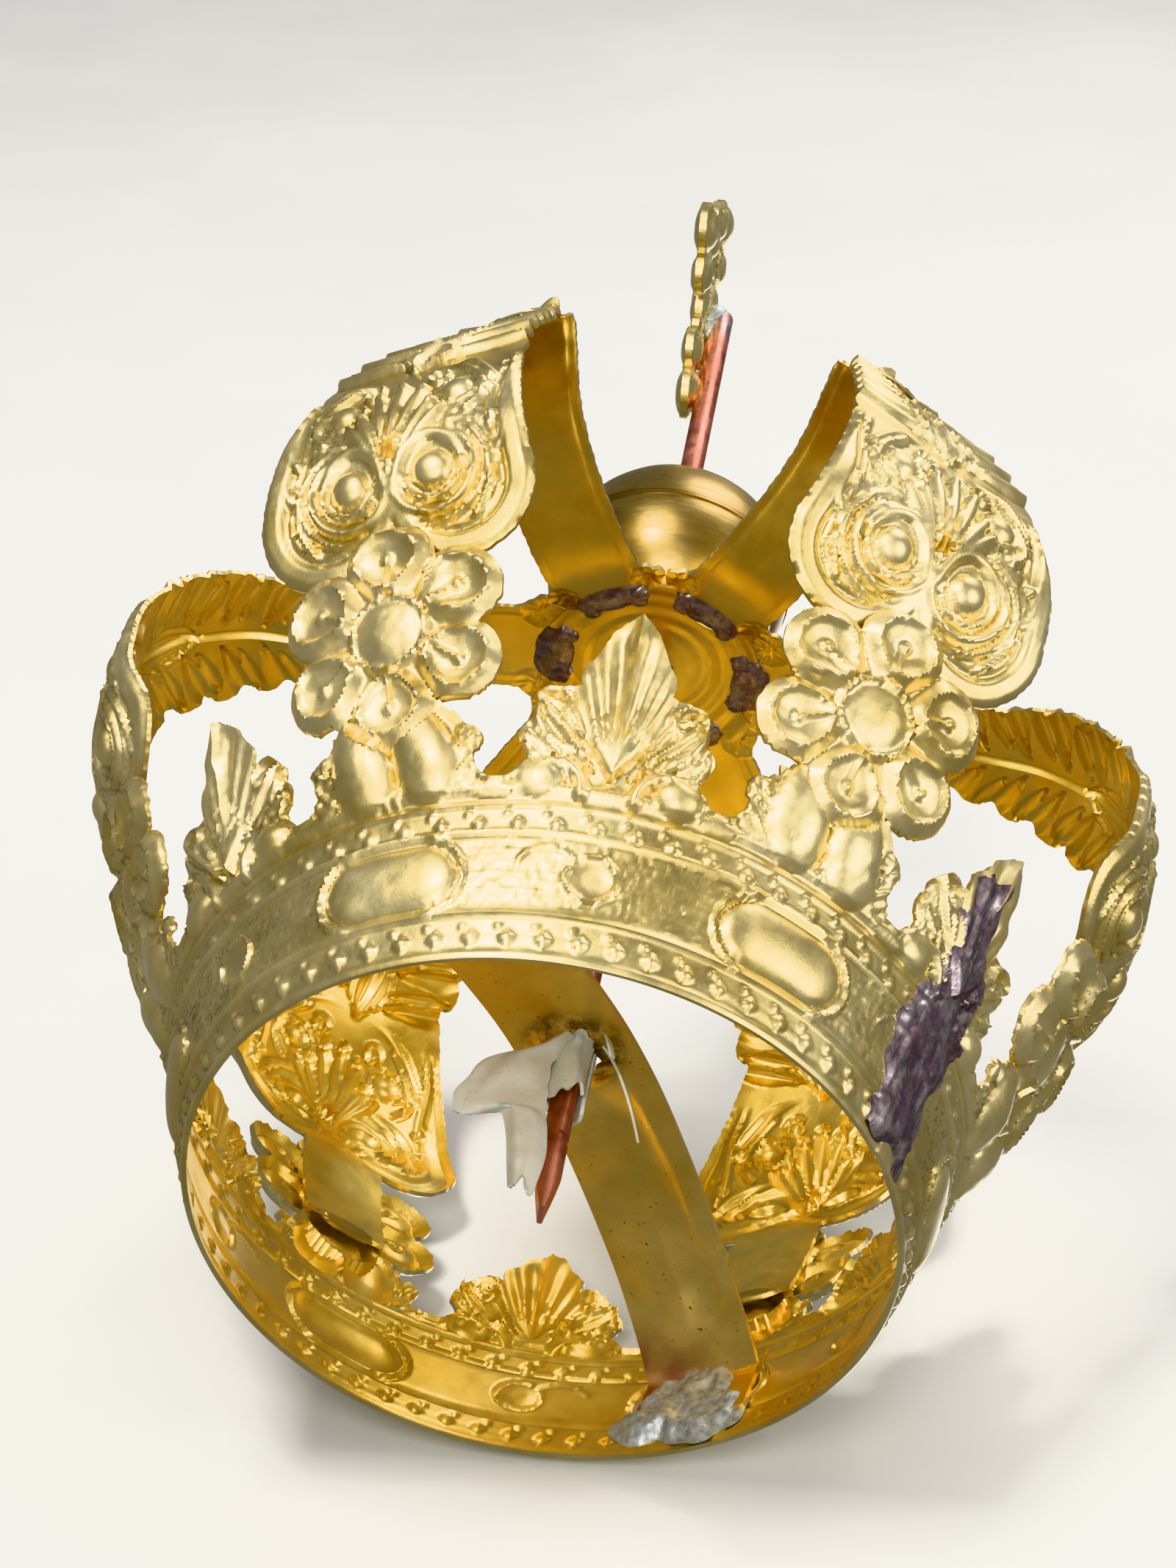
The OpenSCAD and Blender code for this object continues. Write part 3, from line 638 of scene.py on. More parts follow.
def shield_relief(x, y, edge, fine, seed):
    """Relief of the shield: y is measured from the middle of its lobes, edge from its outline."""
    wide = 3.6 - 2.0 * smooth(y, 8, 20)
    border = 0.8 * smooth(edge, 0.0, 1.0) * (1 - smooth(edge, wide - 0.9, wide))
    border = border + ridge(edge - wide - 0.7, 0.7, 0.35)
    parts = np.zeros_like(x)
    stem, _ = stroke(x, y, [(0, -4), (0, 4)])
    parts = np.maximum(parts, ridge(stem, 1.5, 0.9))
    for angle, length in ((0, 15.5), (12, 14.5), (-12, 14.5), (25, 11.5), (-25, 11.5)):
        a = math.radians(angle)
        tip = (length * math.sin(a), 3.4 + length * math.cos(a))
        parts = np.maximum(parts, leaf(x, y, (0.4 * math.sin(a), 3.0), tip, 2.3, 1.2, belly=0.72))
        parts = np.maximum(parts, dome(np.hypot(x - tip[0] * 0.93, y - tip[1] * 0.95), 0.95, 1.4))
    for side in (-1, 1):
        w = x * side
        from_berry = np.hypot(w - 5.4, y - 2.4)
        turn = np.arctan2(y - 2.4, w - 5.4)
        parts = np.maximum(parts, dome(from_berry, 2.5, 1.6))
        lower = 1 - smooth(turn, 0.6, 1.6)
        for radius, width, height in ((3.7, 1.0, 0.8), (5.3, 1.5, 1.1), (6.9, 1.1, 0.8)):
            parts = np.maximum(parts, ridge(from_berry - radius, width, height) * lower * (edge > 1.8))
        d, s_along = stroke(w, y, arc_points([(0.6, 1.5), (1.9, 5.6), (4.6, 7.6), (7.6, 6.6), (9.2, 3.9)], 5))
        parts = np.maximum(parts, ridge(d, 1.9, 1.2) * (1 - 0.4 * s_along))
        parts = np.maximum(parts, leaf(w, y, (1.8, 5.5), (6.6, 12.6), 2.9, 1.1, flutes=1, belly=0.6))
        from_bud = np.hypot((w - 7.4) / 1.1, y - 15.2)
        parts = np.maximum(parts, dome(from_bud, 2.0, 1.3))
        parts = np.maximum(parts, ridge(from_bud - 2.5, 0.7, 0.6))
        parts = np.maximum(parts, ridge(np.hypot(w - 4.3, (y - 19.4) / 1.2) - 1.2, 0.8, 0.8))
        for bx, by, br in ((14.4, 11.0, 0.9), (12.9, 8.4, 0.8), (11.7, 14.6, 0.7)):
            parts = np.maximum(parts, dome(np.hypot(w - bx, y - by), br, 1.0))
        for points, width, height in (([(10.4, 7.0), (12.3, 3.4), (12.6, -0.6), (10.6, -4.6)], 1.2, 0.9),
                                      ([(9.4, 10.4), (10.9, 12.6), (10.4, 16.8), (7.2, 21.2)], 1.2, 0.9),
                                      ([(11.6, 17.0), (8.4, 21.6), (4.4, 24.0), (0.0, 24.6)], 1.6, 1.0),
                                      ([(13.8, 3.4), (14.3, 6.4), (13.7, 9.4)], 0.9, 0.7)):
            d, _ = stroke(w, y, arc_points(points, 5))
            parts = np.maximum(parts, ridge(d, width, height))
    h = np.maximum(border, parts * smooth(edge, 0.8, 2.2))
    if fine:
        field = 1 - smooth(np.hypot((np.abs(x) - 8.9) / 2.9, (y - 9.6) / 5.2), 0.75, 1.0)
        rough = np.maximum(field, 0.5 * (1 - smooth(np.hypot(np.abs(x) - 2.6, (y - 21.5) / 1.6), 0.8, 1.8)))
        h = h + (parts < 0.2) * rough * 0.42 * pebbles(x, y, 0.8, 0.8, seed)
    return h


def leaf_relief(x, b, half, rows, fade):
    """Relief of the leaf section beyond the shield: b is the distance from the shield."""
    vein, _ = stroke(x, b, [(0, 1), (0, 5.6 * rows)])
    h = ridge(vein, 1.3, 0.8) * fade
    h = np.maximum(h, leaf(x, b, (0, 1), (0, 12), 6.5, 1.6, flutes=2, belly=0.5))
    for k in range(rows):
        for side in (-1, 1):
            b0 = 3 + 5.6 * k
            reach = np.interp(b0, *half)
            h = np.maximum(h, leaf(x * side, b, (0.6, b0), (reach, b0 + 4.6), 3.6, 1.15, flutes=1, belly=0.7))
            small_tip = (reach - 1.4, b0 + 6.6)
            h = np.maximum(h, leaf(x * side, b, (2.0, b0 + 2.6), small_tip, 1.9, 0.8, belly=0.6))
            h = np.maximum(h, dome(np.hypot(x * side - reach + 1.0, b - b0 - 5.0), 0.8, 0.9))
    return h * fade


def arch_relief(path, x, v, fine, seed):
    ax = np.abs(x)
    y = v - path.lobe_v
    edge = np.where(y > 0, path.half_width(v) - ax, LOBE_R - np.hypot(ax - LOBE_X, y))
    edge = np.where((y <= 0) & (ax < LOBE_X) & (edge < 0), 0, edge)
    shield = shield_relief(x, y, edge, fine, seed) * smooth(y, -9.8, -8.8)
    shield = np.where((y < -2) & (np.hypot(ax - LOBE_X, y) > LOBE_R), 0, shield)
    span = np.linspace(0, 60, 40)
    half = (span, path.half_width(span + path.lobe_v + SHIELD_L))
    peaked = path is PEAKED
    fade_from, fade_to = (-5, -1) if peaked else (18, 26)
    fade = 1 - smooth(v, path.turn_v + fade_from, path.turn_v + fade_to)
    leaves = leaf_relief(x, y - SHIELD_L, half, 7 if peaked else 6, fade)
    w = smooth(y, SHIELD_L - 1.0, SHIELD_L + 1.5)
    h = shield * (1 - w) + leaves * w
    strip = 1 - fade
    h = h + ridge(STRIP_W / 2 - 1.0 - ax, 0.7, 0.16) * strip
    for side in (-1, 1):
        q = np.hypot(x * side - STRIP_W / 2 - 0.1, v - path.end + 3.4)
        ribs = 0.75 + 0.25 * np.cos(np.arctan2(x * side - 6, v - path.end + 3.4) * 7)
        h = np.maximum(h, dome(q, 2.6, 0.9) * ribs)
    return h + 0.10 * wave_noise(x + seed * 30, v, 4.0, seed)


def build_arch(k, path):
    """The arch at azimuth k * 60 + 30 degrees, a little different from its neighbours."""
    phi = (k + 0.5) * PITCH
    seed = k + 1
    peaked = path is PEAKED
    depth = 1.0 if peaked else 3.0

    def place(x, v, out):
        y = v - path.lobe_v
        r, z, tr, tz = path.at(v)
        sway = 0.5 * math.sin(1.7 * seed) * smooth(y, 0, 30) * (1 - smooth(v, path.end - 30, path.end - 8))
        deep = smooth(y, -14, -2) * (1 - smooth(y, 28, 42))
        bow = (depth * deep + 0.2) * (np.abs(x) / (HEART_W / 2)) ** 2
        lean = np.arctan(2 * bow / np.maximum(np.abs(x), 0.5) * np.sign(x))
        ro = r + tz * (out * np.cos(lean) - bow)
        zo = z - tr * (out * np.cos(lean) - bow)
        side = x + out * np.sin(lean) + sway
        across = ro * math.sin(phi) + side * math.cos(phi)
        return np.stack([across, -ro * math.cos(phi) + side * math.sin(phi), zo], -1)

    def dent(x, v):
        live = smooth(v, path.lobe_v - 6, path.lobe_v) * (1 - smooth(v, path.end - 12, path.end - 5))
        return 0.25 * wave_noise(x + 70 * seed, v, 11, seed) * live

    def outer(x, v):
        h = arch_relief(path, x, v, True, seed)
        return place(x, v, h + dent(x, v)), h

    def inner(x, v):
        h = arch_relief(path, x, v, False, seed)
        return place(x, v, 0.9 * h + dent(x, v) - SHEET), h
    step = 0.38
    x = np.arange(-HEART_W / 2 - 1, HEART_W / 2 + 1, step)
    v = np.arange(-0.5, path.end + 0.8, step)
    return sheet_mesh(x, v, lambda a, b: arch_mask(path, a, b), outer, inner)


def build_tip_leaf(k):
    """The curled leaf that stands beyond the tip of a front arch."""
    phi = (k + 0.5) * PITCH
    line = arc_points([(47.6, 112.6), (45.0, 116.8), (43.4, 119.4), (44.0, 121.6)], 6)
    span = np.linspace(0, 1, len(line))

    def surface(a, b):
        r, z = (np.interp(b, span, line[:, i]) for i in (0, 1))
        half = 4.6 * np.clip(1 - b, 0, 1) ** 0.8 + 0.15
        x = (2 * a - 1) * half + 2.6 * b ** 2
        lift = 0.8 * (1 - (2 * a - 1) ** 2) * (1 - b) + 0.5
        across = (r + lift) * math.sin(phi) + x * math.cos(phi)
        return np.stack([across, -(r + lift) * math.cos(phi) + x * math.sin(phi), z + lift * 0.4], -1)
    return patch(surface, 16, 26, 0.5)


# --- turned, cast and soldered pieces ------------------------------------------------------------
def join(parts):
    """One vertex and face list from several."""
    verts, faces, start = [], [], 0
    for part_verts, part_faces in parts:
        verts.append(part_verts)
        faces += [np.asarray(f) + start for f in part_faces]
        start += len(part_verts)
    return np.concatenate(verts), faces


def turned(profile, n, wobble=None):
    """A solid of revolution whose profile runs up the outside; both ends are closed flat."""
    verts, faces = lathe(profile, n, wobble, closed=False)
    count = len(profile)
    low = (np.arange(n)[::-1] * count)[None, :]
    high = (np.arange(n) * count + count - 1)[None, :]
    return verts, [faces, low, high]


def space_noise(p, scale, seed):
    """Soft noise at points in space, from -1 to 1."""
    a = wave_noise(p[..., 0] + 0.37 * p[..., 2], p[..., 1] - 0.21 * p[..., 2], scale, seed)
    b = wave_noise(p[..., 1] + 0.31 * p[..., 0], p[..., 2] + 0.17 * p[..., 0], scale, seed + 3)
    return (a + b) / 2


def blob(centre, axes, radii, rough, seed, n=36):
    """A lump: a ball stretched along three axes, with an uneven surface."""
    m = n // 2
    theta = np.linspace(0.02, math.pi - 0.02, m)
    profile = np.stack([np.sin(theta), -np.cos(theta)], 1)
    verts, faces = turned(profile, n)
    coarse = rough * space_noise(verts * 4 + seed * 5, 1.6, seed)
    bump = 1 + coarse + rough * 0.6 * space_noise(verts * 9, 1.7, seed + 5)
    local = verts * bump[:, None] * np.asarray(radii)
    return np.asarray(centre) + local @ np.asarray(axes), faces


def cone_axes(phi, lean):
    """Sideways, up-the-sheet and outward directions at an azimuth."""
    side = [math.cos(phi), math.sin(phi), 0]
    up = [math.sin(lean) * math.sin(phi), -math.sin(lean) * math.cos(phi), math.cos(lean)]
    out = [math.cos(lean) * math.sin(phi), -math.cos(lean) * math.cos(phi), -math.sin(lean)]
    return np.array([side, up, out])


def build_dish():
    step = 0.28
    grid = np.arange(-DISH_R - 0.5, DISH_R + 0.5, step)

    def mask(x, y):
        rho = np.hypot(x, y)
        angle = np.arctan2(x, -y)
        m = DISH_R + 0.35 * np.sin(3 * angle + 1) - rho
        for k in range(REPEATS):
            a = (k + 0.5) * PITCH
            bite = BITE_R + 0.25 * math.sin(4 * k + 1)
            m = np.minimum(m, np.hypot(x - BITE_AT * math.sin(a), y + BITE_AT * math.cos(a)) - bite)
        return np.minimum(m, rho - HOLE_R - 0.35 * np.sin(3 * angle) * np.sin(5 * angle + 2))

    def face(offset):
        def place(x, y):
            rho = np.hypot(x, y)
            z = DOME_Z + np.sqrt(DOME_R ** 2 - rho ** 2) + offset
            z = z + 0.14 * wave_noise(x, y, 5, 4) * smooth(rho, 3, 7)
            z = z + 0.10 * np.cos(rho * 2.4) * smooth(rho, 4, 8)
            horn = smooth(rho, 12.5, 15.2)
            return np.stack([x, y, z - 0.5 * horn], -1), 0.3 * wave_noise(x, y, 2.5, 6)
        return place
    return sheet_mesh(grid, grid, mask, face(0.0), face(-SHEET))


def orb_dents(v):
    radial = np.stack([v[..., 0], v[..., 1], v[..., 2] - ORB_Z], -1)
    radial = radial / np.maximum(np.linalg.norm(radial, axis=-1, keepdims=True), 1e-6)
    return radial * (0.16 * space_noise(v, 7, 3) + 0.05 * space_noise(v, 2.2, 8))[..., None]


def build_orb_half(side):
    """One pressed half of the orb with its turned lip; side is 1 for the upper half."""
    t0 = math.asin((ROD_R + 0.12) / ORB_R)
    theta = np.linspace(t0, math.pi / 2 - 0.03, 46)
    outer = [(ORB_R * math.sin(t), side * ORB_R * math.cos(t)) for t in theta]
    lip = [(ORB_R + 0.22, side * 0.42), (ORB_R + 0.24, side * 0.04)]
    inner_r = ORB_R - ORB_WALL
    inner_arc = np.linspace(math.pi / 2 - 0.005, t0 * 1.06, 30)
    inner = [(inner_r * math.sin(t), side * inner_r * math.cos(t)) for t in inner_arc]
    profile = outer + lip + inner
    if side > 0:
        profile = profile[::-1]
    profile = [(r, z + ORB_Z) for r, z in profile]
    verts, faces = lathe(profile, 128, orb_dents)
    return verts, [faces]


def build_orb_solder():
    def wobble(v):
        angle = np.arctan2(v[..., 0], -v[..., 1])
        swell = 0.35 * np.sin(3 * angle + 1) + 0.2 * np.sin(7 * angle) + 0.25 * space_noise(v, 1.5, 2)
        rho = np.hypot(v[..., 0], v[..., 1])[..., None]
        radial = np.concatenate([v[..., :2] / np.maximum(rho, 1e-6), 0 * rho], -1)
        return radial * (swell * smooth(rho[..., 0], 3.0, 5.0))[..., None]
    z0 = dish_top(4.0)
    z1 = ORB_Z - math.sqrt(ORB_R ** 2 - 5.2 ** 2)
    profile = [(2.7, z0 - 0.1), (5.6, z0 - 0.2), (5.3, z0 + 0.25), (4.7, z0 + 0.5), (5.0, z1 - 0.1),
               (4.6, z1 - 0.25), (2.7, z0 + 0.5)]
    verts, faces = lathe(profile, 72, wobble)
    return verts, [faces]


def build_rod():
    z = np.concatenate([np.linspace(ROD_TIP_Z, ROD_TIP_Z + 7, 22)[:-1], [12.0, 12.1, 13.3, 13.4],
                        np.linspace(14, ROD_TOP_Z - 0.5, 120), [ROD_TOP_Z - 0.2, ROD_TOP_Z]])
    z = np.unique(z)
    r = np.full(len(z), ROD_R - 0.01)
    r[(z > 12.05) & (z < 13.35)] = ROD_R - 0.25
    r[-1], r[-2] = ROD_R - 0.45, ROD_R - 0.12

    def wobble(v):
        fade = smooth(v[..., 2], 12, 20) * (1 - smooth(v[..., 2], ROD_TOP_Z - 4, ROD_TOP_Z - 1))
        grain = -0.02 * np.abs(space_noise(v, 3, 5)) * fade
        flat = (0.30 + (ROD_R - 0.30) * np.clip((v[..., 2] - ROD_TIP_Z) / 6, 0, 1))
        x = np.clip(v[..., 0], -flat, flat)
        shift = np.zeros_like(v)
        shift[..., 0] = (x - v[..., 0]) + v[..., 0] * grain
        shift[..., 1] = v[..., 1] * grain
        return shift
    verts, faces = turned(np.stack([r, z], 1), 40, wobble)
    return verts, faces


def build_cross():
    height, width, lobe = 48.0, 35.0, 3.8
    centre_z = ROD_TOP_Z + 2
    step = 0.3
    xs = np.arange(-width / 2 - 0.8, width / 2 + 0.8, step)
    zs = np.arange(-height / 2 - 0.8, height / 2 + 0.8, step)
    arms = ((0, height), (90, width), (180, height), (270, width))

    def arm_frame(x, z, angle):
        a = math.radians(angle)
        return x * math.cos(a) + z * math.sin(a), -x * math.sin(a) + z * math.cos(a)

    def mask(x, z):
        m = lobe * 1.5 - np.hypot(x, z)
        for angle, full in arms:
            a, b = arm_frame(x, z, angle)
            neck = 2.3 + 0.5 * np.cos(b * 0.75)
            m = np.maximum(m, np.where(b > 0, np.minimum(neck - np.abs(a), full / 2 - lobe - b), -1))
            m = np.maximum(m, lobe - np.hypot(a, b - full / 2 + lobe))
            m = np.maximum(m, lobe * 0.82 - np.hypot(np.abs(a) - lobe * 1.05, b - full / 2 + 2.3 * lobe))
            m = np.maximum(m, 1.3 - np.hypot(np.abs(a) - 2.6, b - full / 2 + 4.3 * lobe))
        return m

    def relief(x, z):
        edge = mask(x, z)
        h = 0.55 * smooth(edge, 0, 0.8)
        h = np.maximum(h, 0.5 + dome(np.hypot(x, z), 3.4, 1.5))
        h = np.maximum(h, 0.5 + ridge(np.hypot(x, z) - 4.6, 0.9, 0.4))
        for angle, full in arms:
            a, b = arm_frame(x, z, angle)
            h = np.maximum(h, 0.5 + leaf(a, b, (0, 5.0), (0, full / 2 - 2.4 * lobe), 3.0, 0.8, flutes=2))
            h = np.maximum(h, 0.4 + dome(np.hypot(a, b - full / 2 + lobe), 2.9, 1.4))
            knob = dome(np.hypot(np.abs(a) - lobe * 1.05, b - full / 2 + 2.3 * lobe), 2.3, 1.1)
            h = np.maximum(h, 0.4 + knob)
        return h * smooth(edge, -0.2, 0.5) + 0.12 * wave_noise(x, z, 1.3, 3)

    def face(sign, share):
        def place(x, z):
            h = relief(x, z)
            bend = 1.1 * np.clip(z / 24, -1, 1) ** 2 * np.sign(z) * (z < 0) * 0.4
            y = CROSS_OFF + 0.15 - sign * (0.45 + share * h) + bend
            px = x * math.cos(CROSS_TURN) - y * math.sin(CROSS_TURN)
            py = x * math.sin(CROSS_TURN) + y * math.cos(CROSS_TURN)
            return np.stack([px, py, z + centre_z], -1), h
        return place
    return sheet_mesh(xs, zs, mask, face(1, 0.95), face(-1, 0.55))


# --- the crossbar strap and the sleeve -----------------------------------------------------------
BAR_D = np.array([math.sin(BAR_AZIMUTH), -math.cos(BAR_AZIMUTH), 0])
BAR_L = np.array([BAR_D[1], -BAR_D[0], 0])


def band_in(z):
    return RIM_R - SHEET + z * math.tan(BAND_LEAN)


def bar_path():
    """Side view of the strap's outer face: distance along its direction, and height."""
    end = math.asin((band_in(BAR_WALL_Z) - 1.4) / BOW_R)
    arc = [(BOW_R * math.sin(a), BOW_Z + BOW_R * math.cos(a)) for a in np.linspace(-end, end, 41)]
    corner = (band_in(BAR_WALL_Z - 0.8) - 0.12, BAR_WALL_Z - 0.5)
    tab = [(band_in(z) - 0.06, z) for z in (11.5, 9.0, 7.0, 5.2)]
    right = [corner] + tab
    left = [(-r, z) for r, z in right[::-1]]
    return arc_points(left + arc + right, 6)


def build_strap():
    path = bar_path()
    length = np.concatenate([[0], np.cumsum(np.hypot(*np.diff(path, axis=0).T))])
    tangent = np.gradient(path, length, axis=0)
    tangent /= np.linalg.norm(tangent, axis=1)[:, None]
    total = length[-1]
    mid = total / 2
    xs = np.arange(-BAR_W / 2 - 0.6, BAR_W / 2 + 0.6, 0.4)
    vs = np.arange(-0.6, total + 0.6, 0.5)

    def mask(x, v):
        t = v - mid
        side = BAR_W / 2 - 0.15 + 0.22 * np.sin(t * 0.13 + np.sign(x)) - np.abs(x)
        angle = np.arctan2(x, t)
        torn = 3.0 + 0.5 * np.sin(3 * angle + 0.6) + 0.35 * np.sin(8 * angle)
        hole = np.maximum(np.abs(x), np.abs(t)) * 0.6 + np.hypot(x, t) * 0.4 - torn
        return np.minimum(np.minimum(side, hole), np.minimum(v, total - v))

    def place(offset):
        def at(x, v):
            t = v - mid
            flat = 1 - smooth(np.abs(t), 36, 44)
            fold = ridge(x - 1.4 - 0.03 * t, 5, 0.35) * smooth(t, 6, 12)
            bump = 0.22 * wave_noise(x, v, 9, 12) * flat + fold * flat
            torn = 1 + 0.6 * np.sin(2 * np.arctan2(x, t) + 1)
            curl = -0.8 * (1 - smooth(np.hypot(x, t), 3.0, 6.5)) * torn
            rho = np.interp(v, length, path[:, 0])
            z = np.interp(v, length, path[:, 1])
            tr, tz = np.interp(v, length, tangent[:, 0]), np.interp(v, length, tangent[:, 1])
            out = offset + bump + curl
            # the ends follow the round of the band
            round_in = (np.hypot(rho, x) - np.abs(rho)) * smooth(np.abs(t), 30, 46) * np.sign(rho)
            rho = rho - round_in - tz * out
            z = z + tr * out
            pts = rho[..., None] * BAR_D + x[..., None] * BAR_L
            pts[..., 2] = z
            near_hole = 1 - smooth(np.hypot(x, t), 3.2, 9)
            return pts, near_hole
        return at
    return sheet_mesh(xs, vs, mask, place(0.0), place(-BAR_T))


def patch(surface, nu, nv, thickness, cut=None):
    """A thick sheet over surface(a, b), with a and b from 0 to 1; cut(a, b) is above 0 inside."""
    eps = 1e-3

    def at(side):
        def place(a, b):
            p = surface(a, b)
            du = surface(a + eps, b) - p
            dv = surface(a, b + eps) - p
            n = np.cross(du, dv)
            n /= np.maximum(np.linalg.norm(n, axis=-1, keepdims=True), 1e-12)
            return p + n * side * thickness / 2, a
        return place
    inside = cut or (lambda a, b: np.minimum(np.minimum(a, 1 - a), np.minimum(b, 1 - b)) + 0.001)
    verts, faces, _, _ = sheet_mesh(np.linspace(0, 1, nu), np.linspace(0, 1, nv), inside, at(1), at(-1))
    return verts, faces


def build_sleeve():
    top = BAR_TOP_Z + 2.6

    def tube(a, b):
        phi = 2 * math.pi * a + 0.4
        flare = 1.5 * smooth(b, 0.82, 1.0) * (1 + 0.5 * np.sin(5 * phi)) + 0.25 * np.sin(3 * phi + 4 * b)
        r = 2.35 + flare + 0.3 * (1 - b)
        z = SLEEVE_Z + 2.0 + (top - SLEEVE_Z - 2.0) * b
        return polar(phi, r, z + 0.5 * np.sin(4 * phi) * smooth(b, 0.8, 1))

    def tube_cut(a, b):
        low = 0.05 + 0.10 * np.sin(2 * math.pi * a * 2 + 1) + 0.05 * np.sin(2 * math.pi * a * 7)
        slit = np.abs(a - 0.14) - 0.045 * (1 - b)
        ends = np.minimum(b - low, 0.99 - b + 0.03 * np.sin(a * 60))
        return np.minimum(ends, np.minimum(slit, np.minimum(a, 1 - a) + 0.002))

    left = arc_points([(-0.9, 28.6), (-4.0, 25.3), (-9.4, 22.8), (-11.2, 19.6), (-12.6, 16.0),
                       (-11.6, 13.6), (-7.4, 14.6), (-6.0, 13.0), (-4.9, 8.0), (-3.9, 2.4)], 6)
    right = arc_points([(0.3, 27.2), (-1.0, 25.0), (-2.0, 22.9), (-1.9, 19.6), (-1.7, 17.5),
                        (-1.5, 15.5), (-1.4, 14.2), (-1.2, 13.0), (-0.6, 8.6), (-1.2, 1.5)], 6)
    down = np.linspace(0, 1, len(left))

    def flap(a, b):
        """The torn side of the sleeve: a broad flap to the left that narrows to a tongue along the rod."""
        x0, x1 = np.interp(b, down, left[:, 0]), np.interp(b, down, right[:, 0])
        z0, z1 = np.interp(b, down, left[:, 1]), np.interp(b, down, right[:, 1])
        x, z = x0 + (x1 - x0) * a, z0 + (z1 - z0) * a
        out = 2.2 + 1.3 * np.sin(math.pi * a) + 0.22 * np.sin(14 * a + 5 * b) * (1 - a)
        return np.stack([x * FLAP_COS - out * FLAP_SIN, -x * FLAP_SIN - out * FLAP_COS, z], -1)

    def flap_cut(a, b):
        sides = np.minimum(a, 1 - a) + 0.004 + 0.01 * np.sin(b * 50)
        return np.minimum(sides, np.minimum(b + 0.01, 0.985 - b + 0.02 * np.sin(a * 9)))

    def strand(a, b):
        s = b
        phi = np.radians(62 + 30 * s)
        r = 2.6 + 7.2 * np.clip(s, 0, 1) ** 1.2
        z = 29.5 - 3.5 * s - 11.5 * s * s
        return polar(phi + 0.14 * (a - 0.5) / (0.3 + s), r, z + (a - 0.5) * 0.9)

    def strand_cut(a, b):
        return np.minimum(np.minimum(0.48 - 0.3 * b - np.abs(a - 0.5), b + 0.01), 0.98 - b)

    def rag(a, b):
        phi = np.radians(38 + 26 * a)
        return polar(phi, 2.7 + 3.6 * b, 31.0 - 6.0 * b * b - 1.2 * b)

    def rag_cut(a, b):
        return np.minimum(np.minimum(0.48 - 0.33 * b - np.abs(a - 0.5), b + 0.01), 0.98 - b)
    parts = [patch(tube, 90, 60, 0.45, tube_cut), patch(flap, 40, 90, 0.5, flap_cut),
             patch(strand, 10, 44, 0.3, strand_cut), patch(rag, 14, 24, 0.3, rag_cut)]
    return join(parts)


# --- solder --------------------------------------------------------------------------------------
def build_pad(azimuth, width, top, seed):
    """Solder run into the corner between the strap's tab and the inside of the band."""
    us = np.arange(-width / 2 - 2, width / 2 + 2, 0.32)
    vs = np.arange(0.2, top + 2, 0.32)
    mid_v = top / 2 + 0.6

    def mask(u, v):
        angle = np.arctan2(u, v - mid_v)
        edge = 1 + 0.13 * np.sin(3 * angle + seed) + 0.08 * np.sin(5 * angle + 2 * seed)
        edge = edge + 0.04 * np.sin(11 * angle)
        q = ((np.abs(u) / (width / 2)) ** 3 + (np.abs(v - mid_v) / (top / 2)) ** 3) ** (1 / 3)
        return np.minimum((edge - q) * top / 2, v - 0.35)

    def face(inner):
        def place(u, v):
            phi = azimuth + u / band_in(6)
            thick = 1.75 * smooth(mask(u, v), -0.3, 2.6)
            thick = thick * (1 + 0.28 * wave_noise(u, v, 2.6, seed)) + 0.22 * wave_noise(u, v, 0.9, seed + 1)
            thick = np.maximum(thick, 0.08)
            off = 0.02 + (thick if inner else 0)
            r = band_in(v * math.cos(BAND_LEAN)) - off * math.cos(BAND_LEAN)
            return polar(phi, r, v * math.cos(BAND_LEAN) + off * math.sin(BAND_LEAN)), thick
        return place
    return sheet_mesh(us, vs, mask, face(False), face(True))


def build_seam_solder():
    """A dark, streaky run of solder up the seam and over the palmette."""
    seam = math.radians(60)
    us = np.arange(-11, 13, 0.34)
    vs = np.arange(0.6, BAND_SLANT + 24, 0.34)

    def mask(u, v):
        up = v - BAND_SLANT
        left = -5.2 + 1.1 * np.sin(v * 0.31) + 0.5 * np.sin(v * 1.1) + 1.6 * smooth(up, 0, 14)
        right = 6.4 + 1.2 * np.sin(v * 0.23 + 2) + 0.5 * np.sin(v * 0.9)
        right = right - 2.6 * smooth(up, 2, 14) - 1.5 * smooth(-v, -6, -1)
        m = np.minimum(u - left, right - u)
        m = np.minimum(m, v - 1.6 - 0.9 * np.sin(u * 0.9))
        m = np.minimum(m, 20.5 + 1.5 * np.sin(u * 0.8) - up)
        phi = seam + u / crest_radius(v)
        return np.minimum(m, np.where(v > BAND_SLANT, circlet_mask(phi, v) - 0.35, 9))

    def face(over):
        def place(u, v):
            phi = seam + u / crest_radius(v)
            base = circlet_relief(phi, v, fine=False)
            streak = 0.11 * wave_noise(u * 2.2, v * 0.4, 2.2, 4) + 0.03 * wave_noise(u, v, 1.2, 6)
            body = 0.75 * smooth(mask(u, v), 0, 2.2) * (0.75 + 0.35 * wave_noise(u, v, 5, 2))
            thick = 0.18 + body + streak * smooth(mask(u, v), 0, 1.5)
            h = base - 0.12 if not over else base * 0.6 + np.maximum(thick, 0.06)
            return circlet_point(phi, v, np.maximum(h, base - 0.12)), thick
        return place
    return sheet_mesh(us, vs, mask, face(True), face(False))


